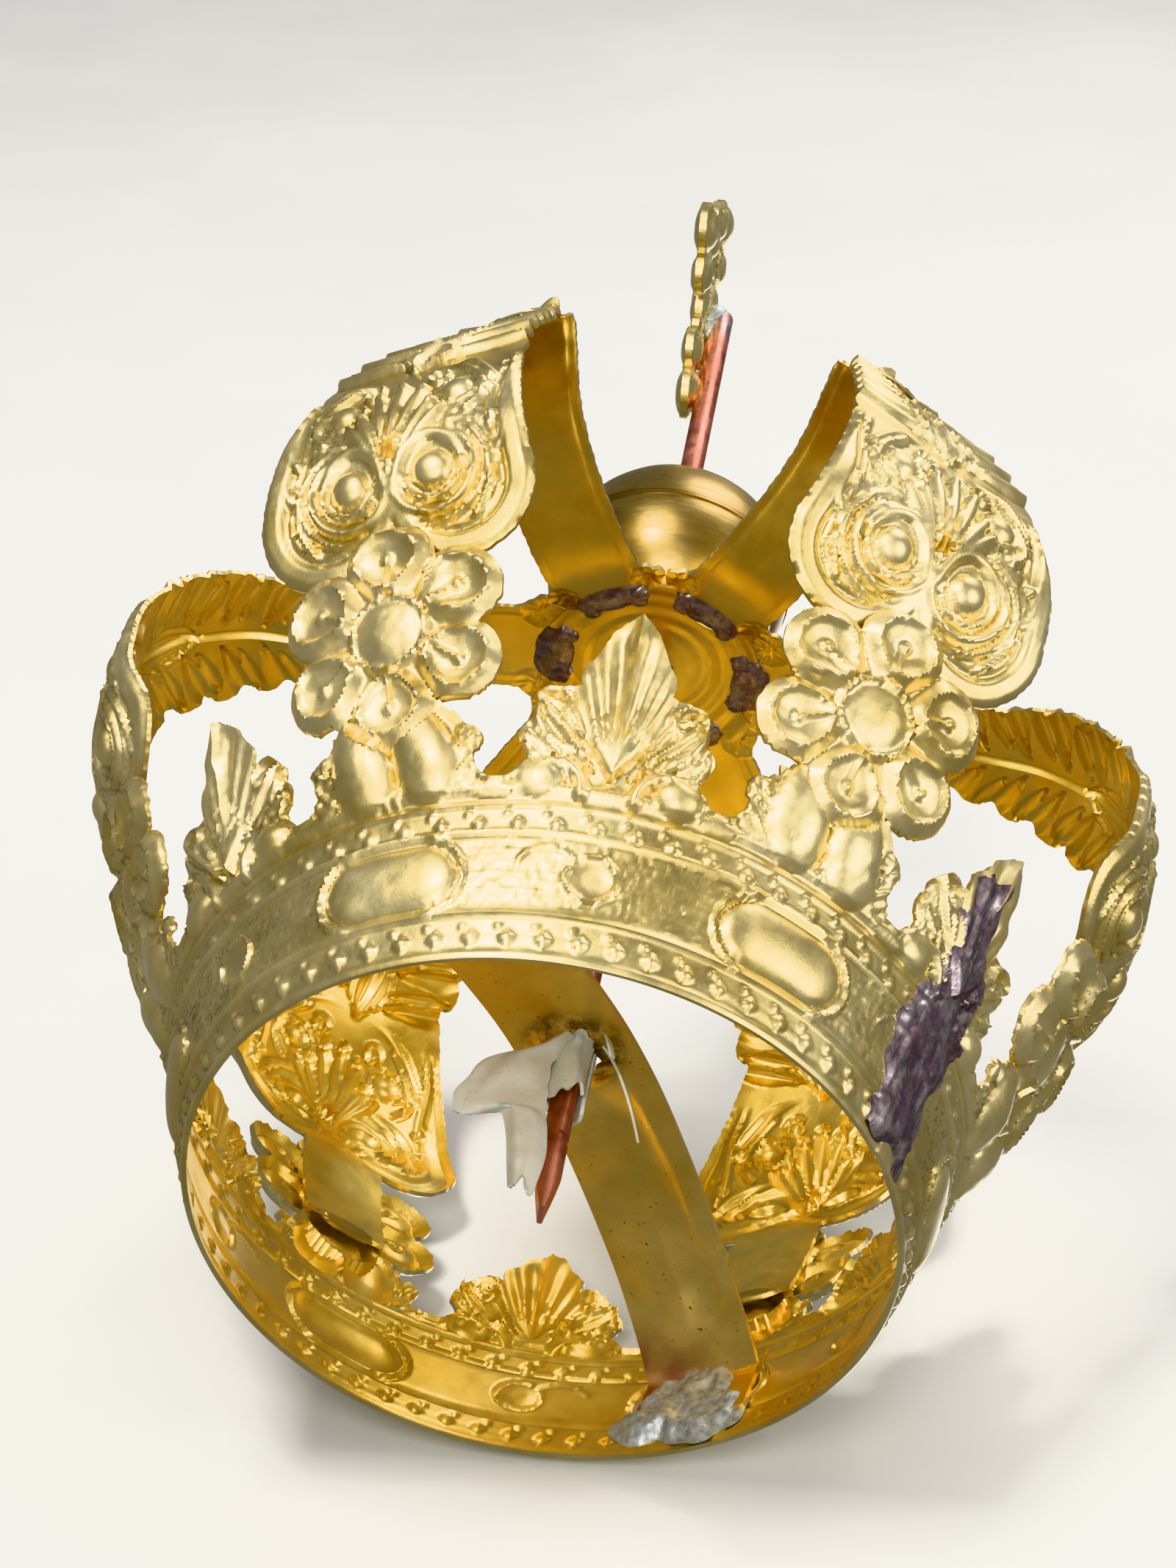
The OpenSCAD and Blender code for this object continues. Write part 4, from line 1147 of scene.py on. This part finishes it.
def build_foot_solder():
    parts = []
    for k in range(REPEATS):
        phi = (k + 0.5) * PITCH
        z = FOOT_Z
        r = BAND_TOP_R + (z - BAND_H) * math.tan(FLOWER_LEAN) - FOOT_IN - SHEET
        axes = cone_axes(phi, FLOWER_LEAN)
        parts.append(blob(polar(phi, r, z - 0.3), axes, (4.3 + 0.4 * math.sin(k), 1.5, 0.7), 0.14, k + 1))
    return join(parts)


def build_top_solder():
    parts = []
    for k in range(REPEATS):
        phi = (k + 0.5) * PITCH
        r = ARCH_END_R + 1.2
        axes = cone_axes(phi, math.pi / 2 - 0.1)
        base = polar(phi, r, dish_top(ARCH_END_R) - 0.55)
        parts.append(blob(base, axes, (4.4, 2.3 + 0.3 * math.sin(k * 2), 0.95), 0.16, k + 21))
        for side in (-1, 1):
            place = polar(phi + side * 0.27, ARCH_END_R + 0.8, dish_top(ARCH_END_R) - 0.2)
            parts.append(blob(place, axes, (1.7, 1.9, 1.15), 0.2, k + 31 + side))
    return join(parts)


def build_cross_solder():
    y = ROD_R * 0.6
    centre = (-y * math.sin(CROSS_TURN), y * math.cos(CROSS_TURN), ROD_TOP_Z - 0.6)
    c, t = math.cos(CROSS_TURN), math.sin(CROSS_TURN)
    axes = np.array([[c, t, 0], [-t, c, 0], [0, 0, 1]])
    lower = (centre[0], centre[1], centre[2] - 3.0)
    return join([blob(centre, axes, (2.0, 2.1, 2.2), 0.13, 3), blob(lower, axes, (1.5, 1.7, 2.2), 0.16, 7)])


# --- materials -----------------------------------------------------------------------------------
class Shader:
    """Small helper that builds one node material."""

    def __init__(self, name):
        self.material = bpy.data.materials.new(name)
        self.material.use_nodes = True
        self.tree = self.material.node_tree
        self.bsdf = self.tree.nodes["Principled BSDF"]
        self.coords = self.tree.nodes.new("ShaderNodeTexCoord").outputs["Object"]

    def node(self, kind, **inputs):
        n = self.tree.nodes.new(kind)
        for key, value in inputs.items():
            self.plug(n.inputs[key.replace("_", " ")], value)
        return n

    def plug(self, socket, value):
        if isinstance(value, bpy.types.NodeSocket):
            self.tree.links.new(value, socket)
        else:
            socket.default_value = value

    def noise(self, size, detail=3.0, rough=0.55, stretch=(1, 1, 1), distortion=0.0):
        """Noise from 0 to 1 whose features are about size millimetres."""
        mapping = self.node("ShaderNodeMapping", Vector=self.coords, Scale=stretch)
        n = self.node("ShaderNodeTexNoise", Vector=mapping.outputs[0], Scale=1 / (size * MM), Detail=detail,
                      Roughness=rough, Distortion=distortion)
        return n.outputs["Fac"]

    def ramp(self, value, lo, hi, out_lo=0.0, out_hi=1.0):
        n = self.tree.nodes.new("ShaderNodeMapRange")
        n.interpolation_type = "SMOOTHSTEP"
        for slot, given in zip(range(5), (value, lo, hi, out_lo, out_hi)):
            self.plug(n.inputs[slot], given)
        return n.outputs[0]

    def mix(self, factor, a, b):
        n = self.tree.nodes.new("ShaderNodeMix")
        n.data_type = "RGBA"
        self.plug(n.inputs[0], factor)
        self.plug(n.inputs[6], a if isinstance(a, bpy.types.NodeSocket) else (*a, 1))
        self.plug(n.inputs[7], b if isinstance(b, bpy.types.NodeSocket) else (*b, 1))
        return n.outputs[2]

    def math(self, operation, a, b):
        n = self.tree.nodes.new("ShaderNodeMath")
        n.operation = operation
        self.plug(n.inputs[0], a)
        self.plug(n.inputs[1], b)
        return n.outputs[0]

    def relief(self):
        n = self.tree.nodes.new("ShaderNodeAttribute")
        n.attribute_name = "relief"
        return n.outputs["Fac"]

    def bump(self, height, distance, strength=1.0, below=None):
        n = self.node("ShaderNodeBump", Height=height, Distance=distance * MM, Strength=strength)
        if below is not None:
            self.plug(n.inputs["Normal"], below)
        return n.outputs[0]

    def finish(self, colour, rough, normal=None, metallic=1.0, **fixed):
        self.plug(self.bsdf.inputs["Base Color"], colour)
        self.plug(self.bsdf.inputs["Roughness"], rough)
        self.plug(self.bsdf.inputs["Metallic"], metallic)
        if normal is not None:
            self.plug(self.bsdf.inputs["Normal"], normal)
        for key, value in fixed.items():
            self.bsdf.inputs[key.replace("_", " ")].default_value = value
        return self.material


def gilt(name, light, deep, tarnish, rough=(0.20, 0.36), spots=0.62, painted_shade_amount=0.5, grain=0.02):
    """Lacquered brass: the raised relief keeps the lighter colour and the hollows are darkened by painted
    shade; tarnish stains, browner and duller, show most in the low relief.
    """
    m = Shader(name)
    broad = m.ramp(m.noise(17, 4, 0.6), 0.36, 0.66)
    colour = m.mix(broad, light, deep)
    height = m.relief()
    # painted shade: the low relief is mixed towards a darker copy of the deep tone, standing in for the
    # shadow in the hollows
    painted_shade_mask = m.ramp(height, 0.45, -0.05)
    colour = m.mix(m.math("MULTIPLY", painted_shade_mask, painted_shade_amount), colour, tuple(c * 0.62 for c in deep))
    patchy = m.ramp(m.noise(6, 5, 0.7, distortion=0.6), spots, spots + 0.14)
    speck = m.ramp(m.noise(0.9, 3, 0.6), 0.52, 0.66)
    stain = m.math("MULTIPLY", patchy, m.math("MAXIMUM", speck, 0.35))
    colour = m.mix(m.math("MULTIPLY", stain, m.ramp(height, 1.0, 0.1, 0.35, 1.0)), colour, tarnish)
    roughness = m.ramp(m.noise(3.5, 4, 0.6), 0.3, 0.75, rough[0], rough[1])
    roughness = m.math("ADD", roughness, m.math("MULTIPLY", stain, 0.16))
    fine = m.bump(m.noise(0.32, 2, 0.6), grain, 0.7)
    soft = m.bump(m.noise(1.9, 3, 0.5), 0.06, 0.6, fine)
    return m.finish(colour, roughness, soft)


def make_materials():
    mats = {}
    # the gilt materials below darken their low relief with painted shade
    mats["gilt"] = gilt("gilt_outside", (0.90, 0.76, 0.40), (0.70, 0.55, 0.22), (0.42, 0.22, 0.06),
                        rough=(0.30, 0.44), painted_shade_amount=0.35)
    mats["satin"] = gilt("gilt_satin", (0.66, 0.50, 0.19), (0.45, 0.33, 0.10), (0.26, 0.13, 0.06),
                         rough=(0.34, 0.48))
    mats["amber"] = gilt("gilt_inside", (0.92, 0.69, 0.20), (0.74, 0.50, 0.10), (0.45, 0.22, 0.04),
                         rough=(0.30, 0.44), painted_shade_amount=0.2)
    mats["cast"] = gilt("gilt_cast", (0.88, 0.74, 0.36), (0.62, 0.49, 0.20), (0.34, 0.20, 0.07),
                        rough=(0.28, 0.42), grain=0.05)

    m = Shader("strap_brass")
    colour = m.mix(m.ramp(m.noise(14, 3), 0.35, 0.7), (0.88, 0.62, 0.21), (0.72, 0.47, 0.12))
    speck = m.ramp(m.noise(0.75, 2, 0.6), 0.66, 0.72)
    speck = m.math("MULTIPLY", speck, m.ramp(m.noise(5, 3), 0.42, 0.6))
    colour = m.mix(m.math("MULTIPLY", speck, 0.8), colour, (0.20, 0.08, 0.02))
    burnt = m.math("MULTIPLY", m.ramp(m.relief(), 0.05, 0.9), m.ramp(m.noise(2.2, 4, 0.7), 0.3, 0.6))
    colour = m.mix(burnt, colour, (0.16, 0.075, 0.03))
    x = m.node("ShaderNodeSeparateXYZ", Vector=m.coords)
    mottled = m.ramp(m.noise(3.5, 3), 0.30, 0.6, 0.55, 1.0)
    heat = m.math("MULTIPLY", m.ramp(x.outputs[1], 0.0335, 0.0405), mottled)
    colour = m.mix(heat, colour, (0.46, 0.17, 0.10))
    roughness = m.ramp(m.noise(5, 4), 0.3, 0.7, 0.26, 0.40)
    scratches = m.noise(0.5, 3, 0.7, stretch=(0.35, 1, 1))
    dents = m.bump(m.noise(4, 2), 0.10, 0.6)
    mats["strap"] = m.finish(colour, roughness, m.bump(scratches, 0.012, 0.8, dents))

    m = Shader("orb_satin_brass")
    z = m.node("ShaderNodeSeparateXYZ", Vector=m.coords).outputs[2]
    bands = m.noise(1.3, 4, 0.7, stretch=(0.12, 0.12, 1.6))
    colour = m.mix(m.ramp(bands, 0.35, 0.7), (0.44, 0.31, 0.11), (0.30, 0.205, 0.065))
    pale = m.ramp(m.noise(5, 4, 0.7, stretch=(0.5, 0.5, 1.2)), 0.52, 0.68, 0, 0.7)
    colour = m.mix(pale, colour, (0.50, 0.36, 0.14))
    colour = m.mix(m.ramp(m.noise(2.4, 4, 0.65), 0.60, 0.72, 0, 0.7), colour, (0.25, 0.14, 0.06))
    near_seam = m.math("ABSOLUTE", m.math("SUBTRACT", z, ORB_Z * MM), 0.0)
    colour = m.mix(m.ramp(near_seam, 0.0012, 0.0, 0, 0.5), colour, (0.20, 0.13, 0.05))
    roughness = m.ramp(bands, 0.25, 0.8, 0.26, 0.44)
    turned_lines = m.bump(m.noise(0.55, 3, 0.6, stretch=(0.06, 0.06, 1.0)), 0.02, 0.8)
    grain = m.noise(0.9, 4, 0.7, stretch=(0.4, 0.4, 1))
    mats["orb"] = m.finish(colour, roughness, m.bump(grain, 0.02, 0.6, turned_lines))

    m = Shader("bare_copper")
    colour = m.mix(m.ramp(m.noise(3.5, 4, 0.65), 0.35, 0.68), (0.60, 0.25, 0.18), (0.36, 0.13, 0.085))
    z = m.node("ShaderNodeSeparateXYZ", Vector=m.coords).outputs[2]
    clean = m.ramp(z, 0.0105, 0.0085)
    colour = m.mix(m.math("MULTIPLY", clean, 0.75), colour, (0.78, 0.36, 0.28))
    dull = m.math("MULTIPLY", m.ramp(z, 0.018, 0.024), m.ramp(z, 0.112, 0.10))
    colour = m.mix(m.math("MULTIPLY", dull, 0.6), colour, (0.22, 0.11, 0.06))
    grey = m.math("MULTIPLY", m.ramp(z, 0.168, 0.174), m.ramp(m.noise(1.5, 3), 0.35, 0.6))
    colour = m.mix(grey, colour, (0.35, 0.34, 0.36))
    drawn = m.bump(m.noise(0.35, 3, 0.6, stretch=(1, 1, 0.05)), 0.02, 0.7)
    normal = m.bump(m.noise(1.2, 3), 0.04, 0.5, drawn)
    mats["copper"] = m.finish(colour, m.ramp(m.noise(2, 3), 0.3, 0.7, 0.34, 0.52), normal)

    m = Shader("tin_solder")
    dull = m.ramp(m.noise(1.6, 5, 0.75, distortion=0.8), 0.40, 0.62)
    colour = m.mix(dull, (0.46, 0.50, 0.50), (0.25, 0.27, 0.27))
    colour = m.mix(m.ramp(m.noise(3.2, 3, 0.6), 0.60, 0.72, 0, 0.5), colour, (0.36, 0.30, 0.20))
    crystals = m.tree.nodes.new("ShaderNodeTexVoronoi")
    m.plug(crystals.inputs["Vector"], m.coords)
    m.plug(crystals.inputs["Scale"], 900.0)
    colour = m.mix(m.ramp(crystals.outputs["Distance"], 0.1, 0.7, 0.0, 0.45), colour, (0.62, 0.66, 0.66))
    normal = m.bump(crystals.outputs["Distance"], 0.12, 0.6, m.bump(m.noise(0.8, 4, 0.7), 0.15, 0.7))
    mats["solder"] = m.finish(colour, m.ramp(m.noise(1.1, 3), 0.3, 0.7, 0.42, 0.66), normal, metallic=0.75)

    m = Shader("burnt_solder")
    streaks = m.noise(1.6, 5, 0.7, stretch=(1, 1, 0.3), distortion=0.5)
    colour = m.mix(m.ramp(streaks, 0.38, 0.62), (0.34, 0.29, 0.30), (0.17, 0.13, 0.135))
    colour = m.mix(m.ramp(m.noise(3.5, 3), 0.50, 0.64, 0, 0.7), colour, (0.20, 0.12, 0.16))
    colour = m.mix(m.ramp(m.noise(2.2, 4, 0.7), 0.60, 0.70, 0, 0.8), colour, (0.36, 0.36, 0.38))
    flux = m.ramp(m.noise(1.9, 4, 0.7, distortion=1.0), 0.66, 0.72, 0, 0.8)
    colour = m.mix(flux, colour, (0.30, 0.20, 0.06))
    normal = m.bump(streaks, 0.10, 0.5, m.bump(m.noise(0.45, 3, 0.7), 0.03, 0.6))
    mats["burnt"] = m.finish(colour, m.ramp(m.noise(1.4, 3), 0.3, 0.7, 0.26, 0.5), normal, metallic=0.85)

    m = Shader("translucent_sleeve")
    colour = m.mix(m.ramp(m.noise(4, 3), 0.35, 0.65), (0.80, 0.79, 0.70), (0.68, 0.66, 0.54))
    colour = m.mix(m.ramp(m.noise(1.3, 4, 0.7), 0.60, 0.72, 0, 0.5), colour, (0.42, 0.33, 0.17))
    normal = m.bump(m.noise(0.9, 3, 0.6), 0.06, 0.6)
    roughness = m.ramp(m.noise(1.5, 3), 0.3, 0.7, 0.32, 0.52)
    mats["plastic"] = m.finish(colour, roughness, normal, metallic=0.0, Transmission_Weight=0.18, IOR=1.49,
                               Subsurface_Weight=0.35, Subsurface_Scale=0.002)
    return mats


# --- assembly ------------------------------------------------------------------------------------
def place_pieces(mats):
    verts, faces, inside, relief = build_circlet()
    make_object("circlet_sheet", verts, faces, [mats["gilt"], mats["amber"]], "root",
                ["circlet"], inside, relief, sharp=50)
    names = ("front_right", "right", "back_right", "back_left", "left", "front_left")
    for k, name in enumerate(names):
        verts, faces, inside, relief = build_arch(k, PEAKED if k in (0, REPEATS - 1) else LOW)
        make_object(f"arch_sheet_{name}", verts, faces, [mats["gilt"], mats["amber"]], "root",
                    [f"arch_{name}"], inside, relief, sharp=50)
        if k in (0, REPEATS - 1):
            verts, faces = build_tip_leaf(k)
            make_object(f"tip_leaf_{name}", verts, faces, [mats["gilt"]], "root")
    verts, faces, inside, relief = build_dish()
    make_object("dish_star", verts, faces, [mats["amber"], mats["amber"]], "root",
                ["centre_dish"], inside, relief)
    for side, name in ((-1, "lower"), (1, "upper")):
        verts, faces = build_orb_half(side)
        make_object(f"orb_{name}_half", verts, faces, [mats["orb"]], "root",
                    [f"orb_{name}_shell"])
    verts, faces = build_orb_solder()
    make_object("orb_collar", verts, faces, [mats["burnt"]], "root", ["orb_solder"])
    verts, faces, inside, relief = build_strap()
    make_object("bridge_strap", verts, faces, [mats["strap"]], "root",
                ["crossbar_strap"], relief=relief)
    verts, faces = build_sleeve()
    make_object("torn_sleeve", verts, faces, [mats["plastic"]], "root", ["wire_sleeve"])
    verts, faces, _, relief = build_pad(BAR_AZIMUTH + 0.02, 16, 15.5, 2)
    make_object("solder_back", verts, faces, [mats["solder"]], "root", ["strap_solder_back"])
    verts, faces, _, relief = build_pad(BAR_AZIMUTH + math.pi, 18, 11, 5)
    make_object("solder_front", verts, faces, [mats["solder"]], "root", ["strap_solder_front"])
    verts, faces, _, relief = build_seam_solder()
    make_object("solder_seam", verts, faces, [mats["burnt"]], "root", ["seam_solder"])
    verts, faces = build_foot_solder()
    make_object("solder_feet", verts, faces, [mats["satin"]], "root", ["arch_foot_solder"])
    verts, faces = build_top_solder()
    make_object("solder_tops", verts, faces, [mats["burnt"]], "root", ["arch_top_solder"])
    verts, faces = build_rod()
    make_object("copper_rod", verts, faces, [mats["copper"]], "finial", ["finial_rod"])
    verts, faces, inside, relief = build_cross()
    make_object("cast_cross", verts, faces, [mats["cast"], mats["cast"]], "finial",
                ["finial_cross"], inside, relief)
    verts, faces = build_cross_solder()
    make_object("solder_cross", verts, faces, [mats["solder"]], "finial", ["cross_solder"])


# --- camera, light and floor ---------------------------------------------------------------------
CAM_AT = Vector((16.8, -412.4, -371.3)) * MM
CAM_RIGHT = Vector((0.9849, -0.1007, 0.1411))
CAM_UP = Vector((-0.1697, -0.7278, 0.6645))
CAM_BACK = Vector((0.0358, -0.6784, -0.7338))
FLOOR_NORMAL = Vector((-0.142, -0.934, 0.325)).normalized()


def camera_axes(right, up, back, at):
    m = Matrix((right, up, back)).transposed().to_4x4()
    m.translation = at
    return m


def place_camera():
    data = bpy.data.cameras.new("camera")
    data.sensor_width = 36
    data.lens = 109.7
    data.clip_start = 0.01
    data.clip_end = 50
    camera = bpy.data.objects.new("camera", data)
    bpy.context.scene.collection.objects.link(camera)
    right = CAM_RIGHT.normalized()
    back = CAM_BACK.normalized()
    up = back.cross(right).normalized()
    right = up.cross(back)
    camera.matrix_world = camera_axes(right, up, back, CAM_AT)
    bpy.context.scene.camera = camera
    bpy.context.scene.view_settings.view_transform = "Khronos PBR Neutral"


def area_light(name, offset, size, power, colour):
    """A soft box aimed at the middle of the crown; offset is in metres, right, up and towards the camera."""
    middle = Vector((0, 0, 0.07))
    at = middle + CAM_RIGHT * offset[0] + CAM_UP * offset[1] + CAM_BACK * offset[2]
    data = bpy.data.lights.new(name, "AREA")
    data.shape = "RECTANGLE"
    data.size, data.size_y = size
    data.energy = power
    data.color = colour
    light = bpy.data.objects.new(name, data)
    light.rotation_mode = "QUATERNION"
    light.rotation_quaternion = (middle - at).to_track_quat("-Z", "Y")
    light.location = at
    bpy.context.scene.collection.objects.link(light)


def place_lights():
    area_light("key", (-0.30, 0.80, 0.60), (0.26, 0.26), 12.0, (1.0, 0.97, 0.90))
    area_light("fill_right", (0.80, 0.20, 0.60), (0.30, 0.5), 4.5, (1.0, 0.98, 0.95))
    area_light("front", (-0.12, 0.22, 1.15), (0.42, 0.34), 9.0, (1.0, 0.97, 0.92))
    area_light("rim", (0.35, 0.65, -0.25), (0.25, 0.4), 3.5, (1.0, 0.98, 0.94))
    area_light("back", (0.1, -0.2, -0.9), (0.6, 0.6), 4.0, (0.97, 0.98, 1.0))
    world = bpy.data.worlds.new("studio")
    world.use_nodes = True
    tree = world.node_tree
    plain = tree.nodes["Background"]
    plain.inputs["Color"].default_value = (0.72, 0.73, 0.75, 1)
    plain.inputs["Strength"].default_value = 0.75
    dim = tree.nodes.new("ShaderNodeBackground")
    dim.inputs["Color"].default_value = (0.8, 0.82, 0.86, 1)
    dim.inputs["Strength"].default_value = 0.34
    rays = tree.nodes.new("ShaderNodeLightPath")
    blend = tree.nodes.new("ShaderNodeMixShader")
    tree.links.new(rays.outputs["Is Camera Ray"], blend.inputs[0])
    tree.links.new(dim.outputs[0], blend.inputs[1])
    tree.links.new(plain.outputs[0], blend.inputs[2])
    tree.links.new(blend.outputs[0], tree.nodes["World Output"].inputs[0])
    bpy.context.scene.world = world


def lowest_point(piece):
    """How far below the origin a piece reaches, against the floor's normal."""
    co = np.zeros(len(piece.data.vertices) * 3)
    piece.data.vertices.foreach_get("co", co)
    return float((co.reshape(-1, 3) @ np.array(FLOOR_NORMAL)).min())


def place_floor():
    """The crown lies on its back on a plain pale floor, seen from the floor's upper side only."""
    lowest = min(lowest_point(o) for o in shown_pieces())
    side = FLOOR_NORMAL.cross(Vector((0, 0, 1))).normalized()
    along = side.cross(FLOOR_NORMAL)
    centre = FLOOR_NORMAL * (lowest - 0.0002)
    half = 6.0
    corners = [centre + side * half * a + along * half * b for a, b in ((-1, -1), (1, -1), (1, 1), (-1, 1))]
    mesh = bpy.data.meshes.new("floor")
    mesh.from_pydata(corners, [], [(0, 1, 2, 3)])
    mesh.update()
    if mesh.polygons[0].normal.dot(FLOOR_NORMAL) < 0:
        mesh.flip_normals()
    m = Shader("pale_floor")
    colour = m.mix(m.ramp(m.noise(60, 3), 0.3, 0.7), (0.66, 0.66, 0.65), (0.62, 0.62, 0.61))
    m.finish(colour, 0.8, metallic=0.0)
    tree = m.tree
    rays = tree.nodes.new("ShaderNodeLightPath")
    side_seen = tree.nodes.new("ShaderNodeNewGeometry")
    clear = tree.nodes.new("ShaderNodeBsdfTransparent")
    blend = tree.nodes.new("ShaderNodeMixShader")
    front = m.math("SUBTRACT", 1.0, side_seen.outputs["Backfacing"])
    m.plug(blend.inputs[0], m.math("MULTIPLY", rays.outputs["Is Camera Ray"], front))
    m.plug(blend.inputs[1], clear.outputs[0])
    m.plug(blend.inputs[2], m.bsdf.outputs[0])
    m.plug(tree.nodes["Material Output"].inputs[0], blend.outputs[0])
    mesh.materials.append(m.material)
    floor = bpy.data.objects.new("floor", mesh)
    bpy.context.scene.collection.objects.link(floor)
    floor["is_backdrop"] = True


place_pieces(make_materials())
place_camera()
place_lights()
place_floor()
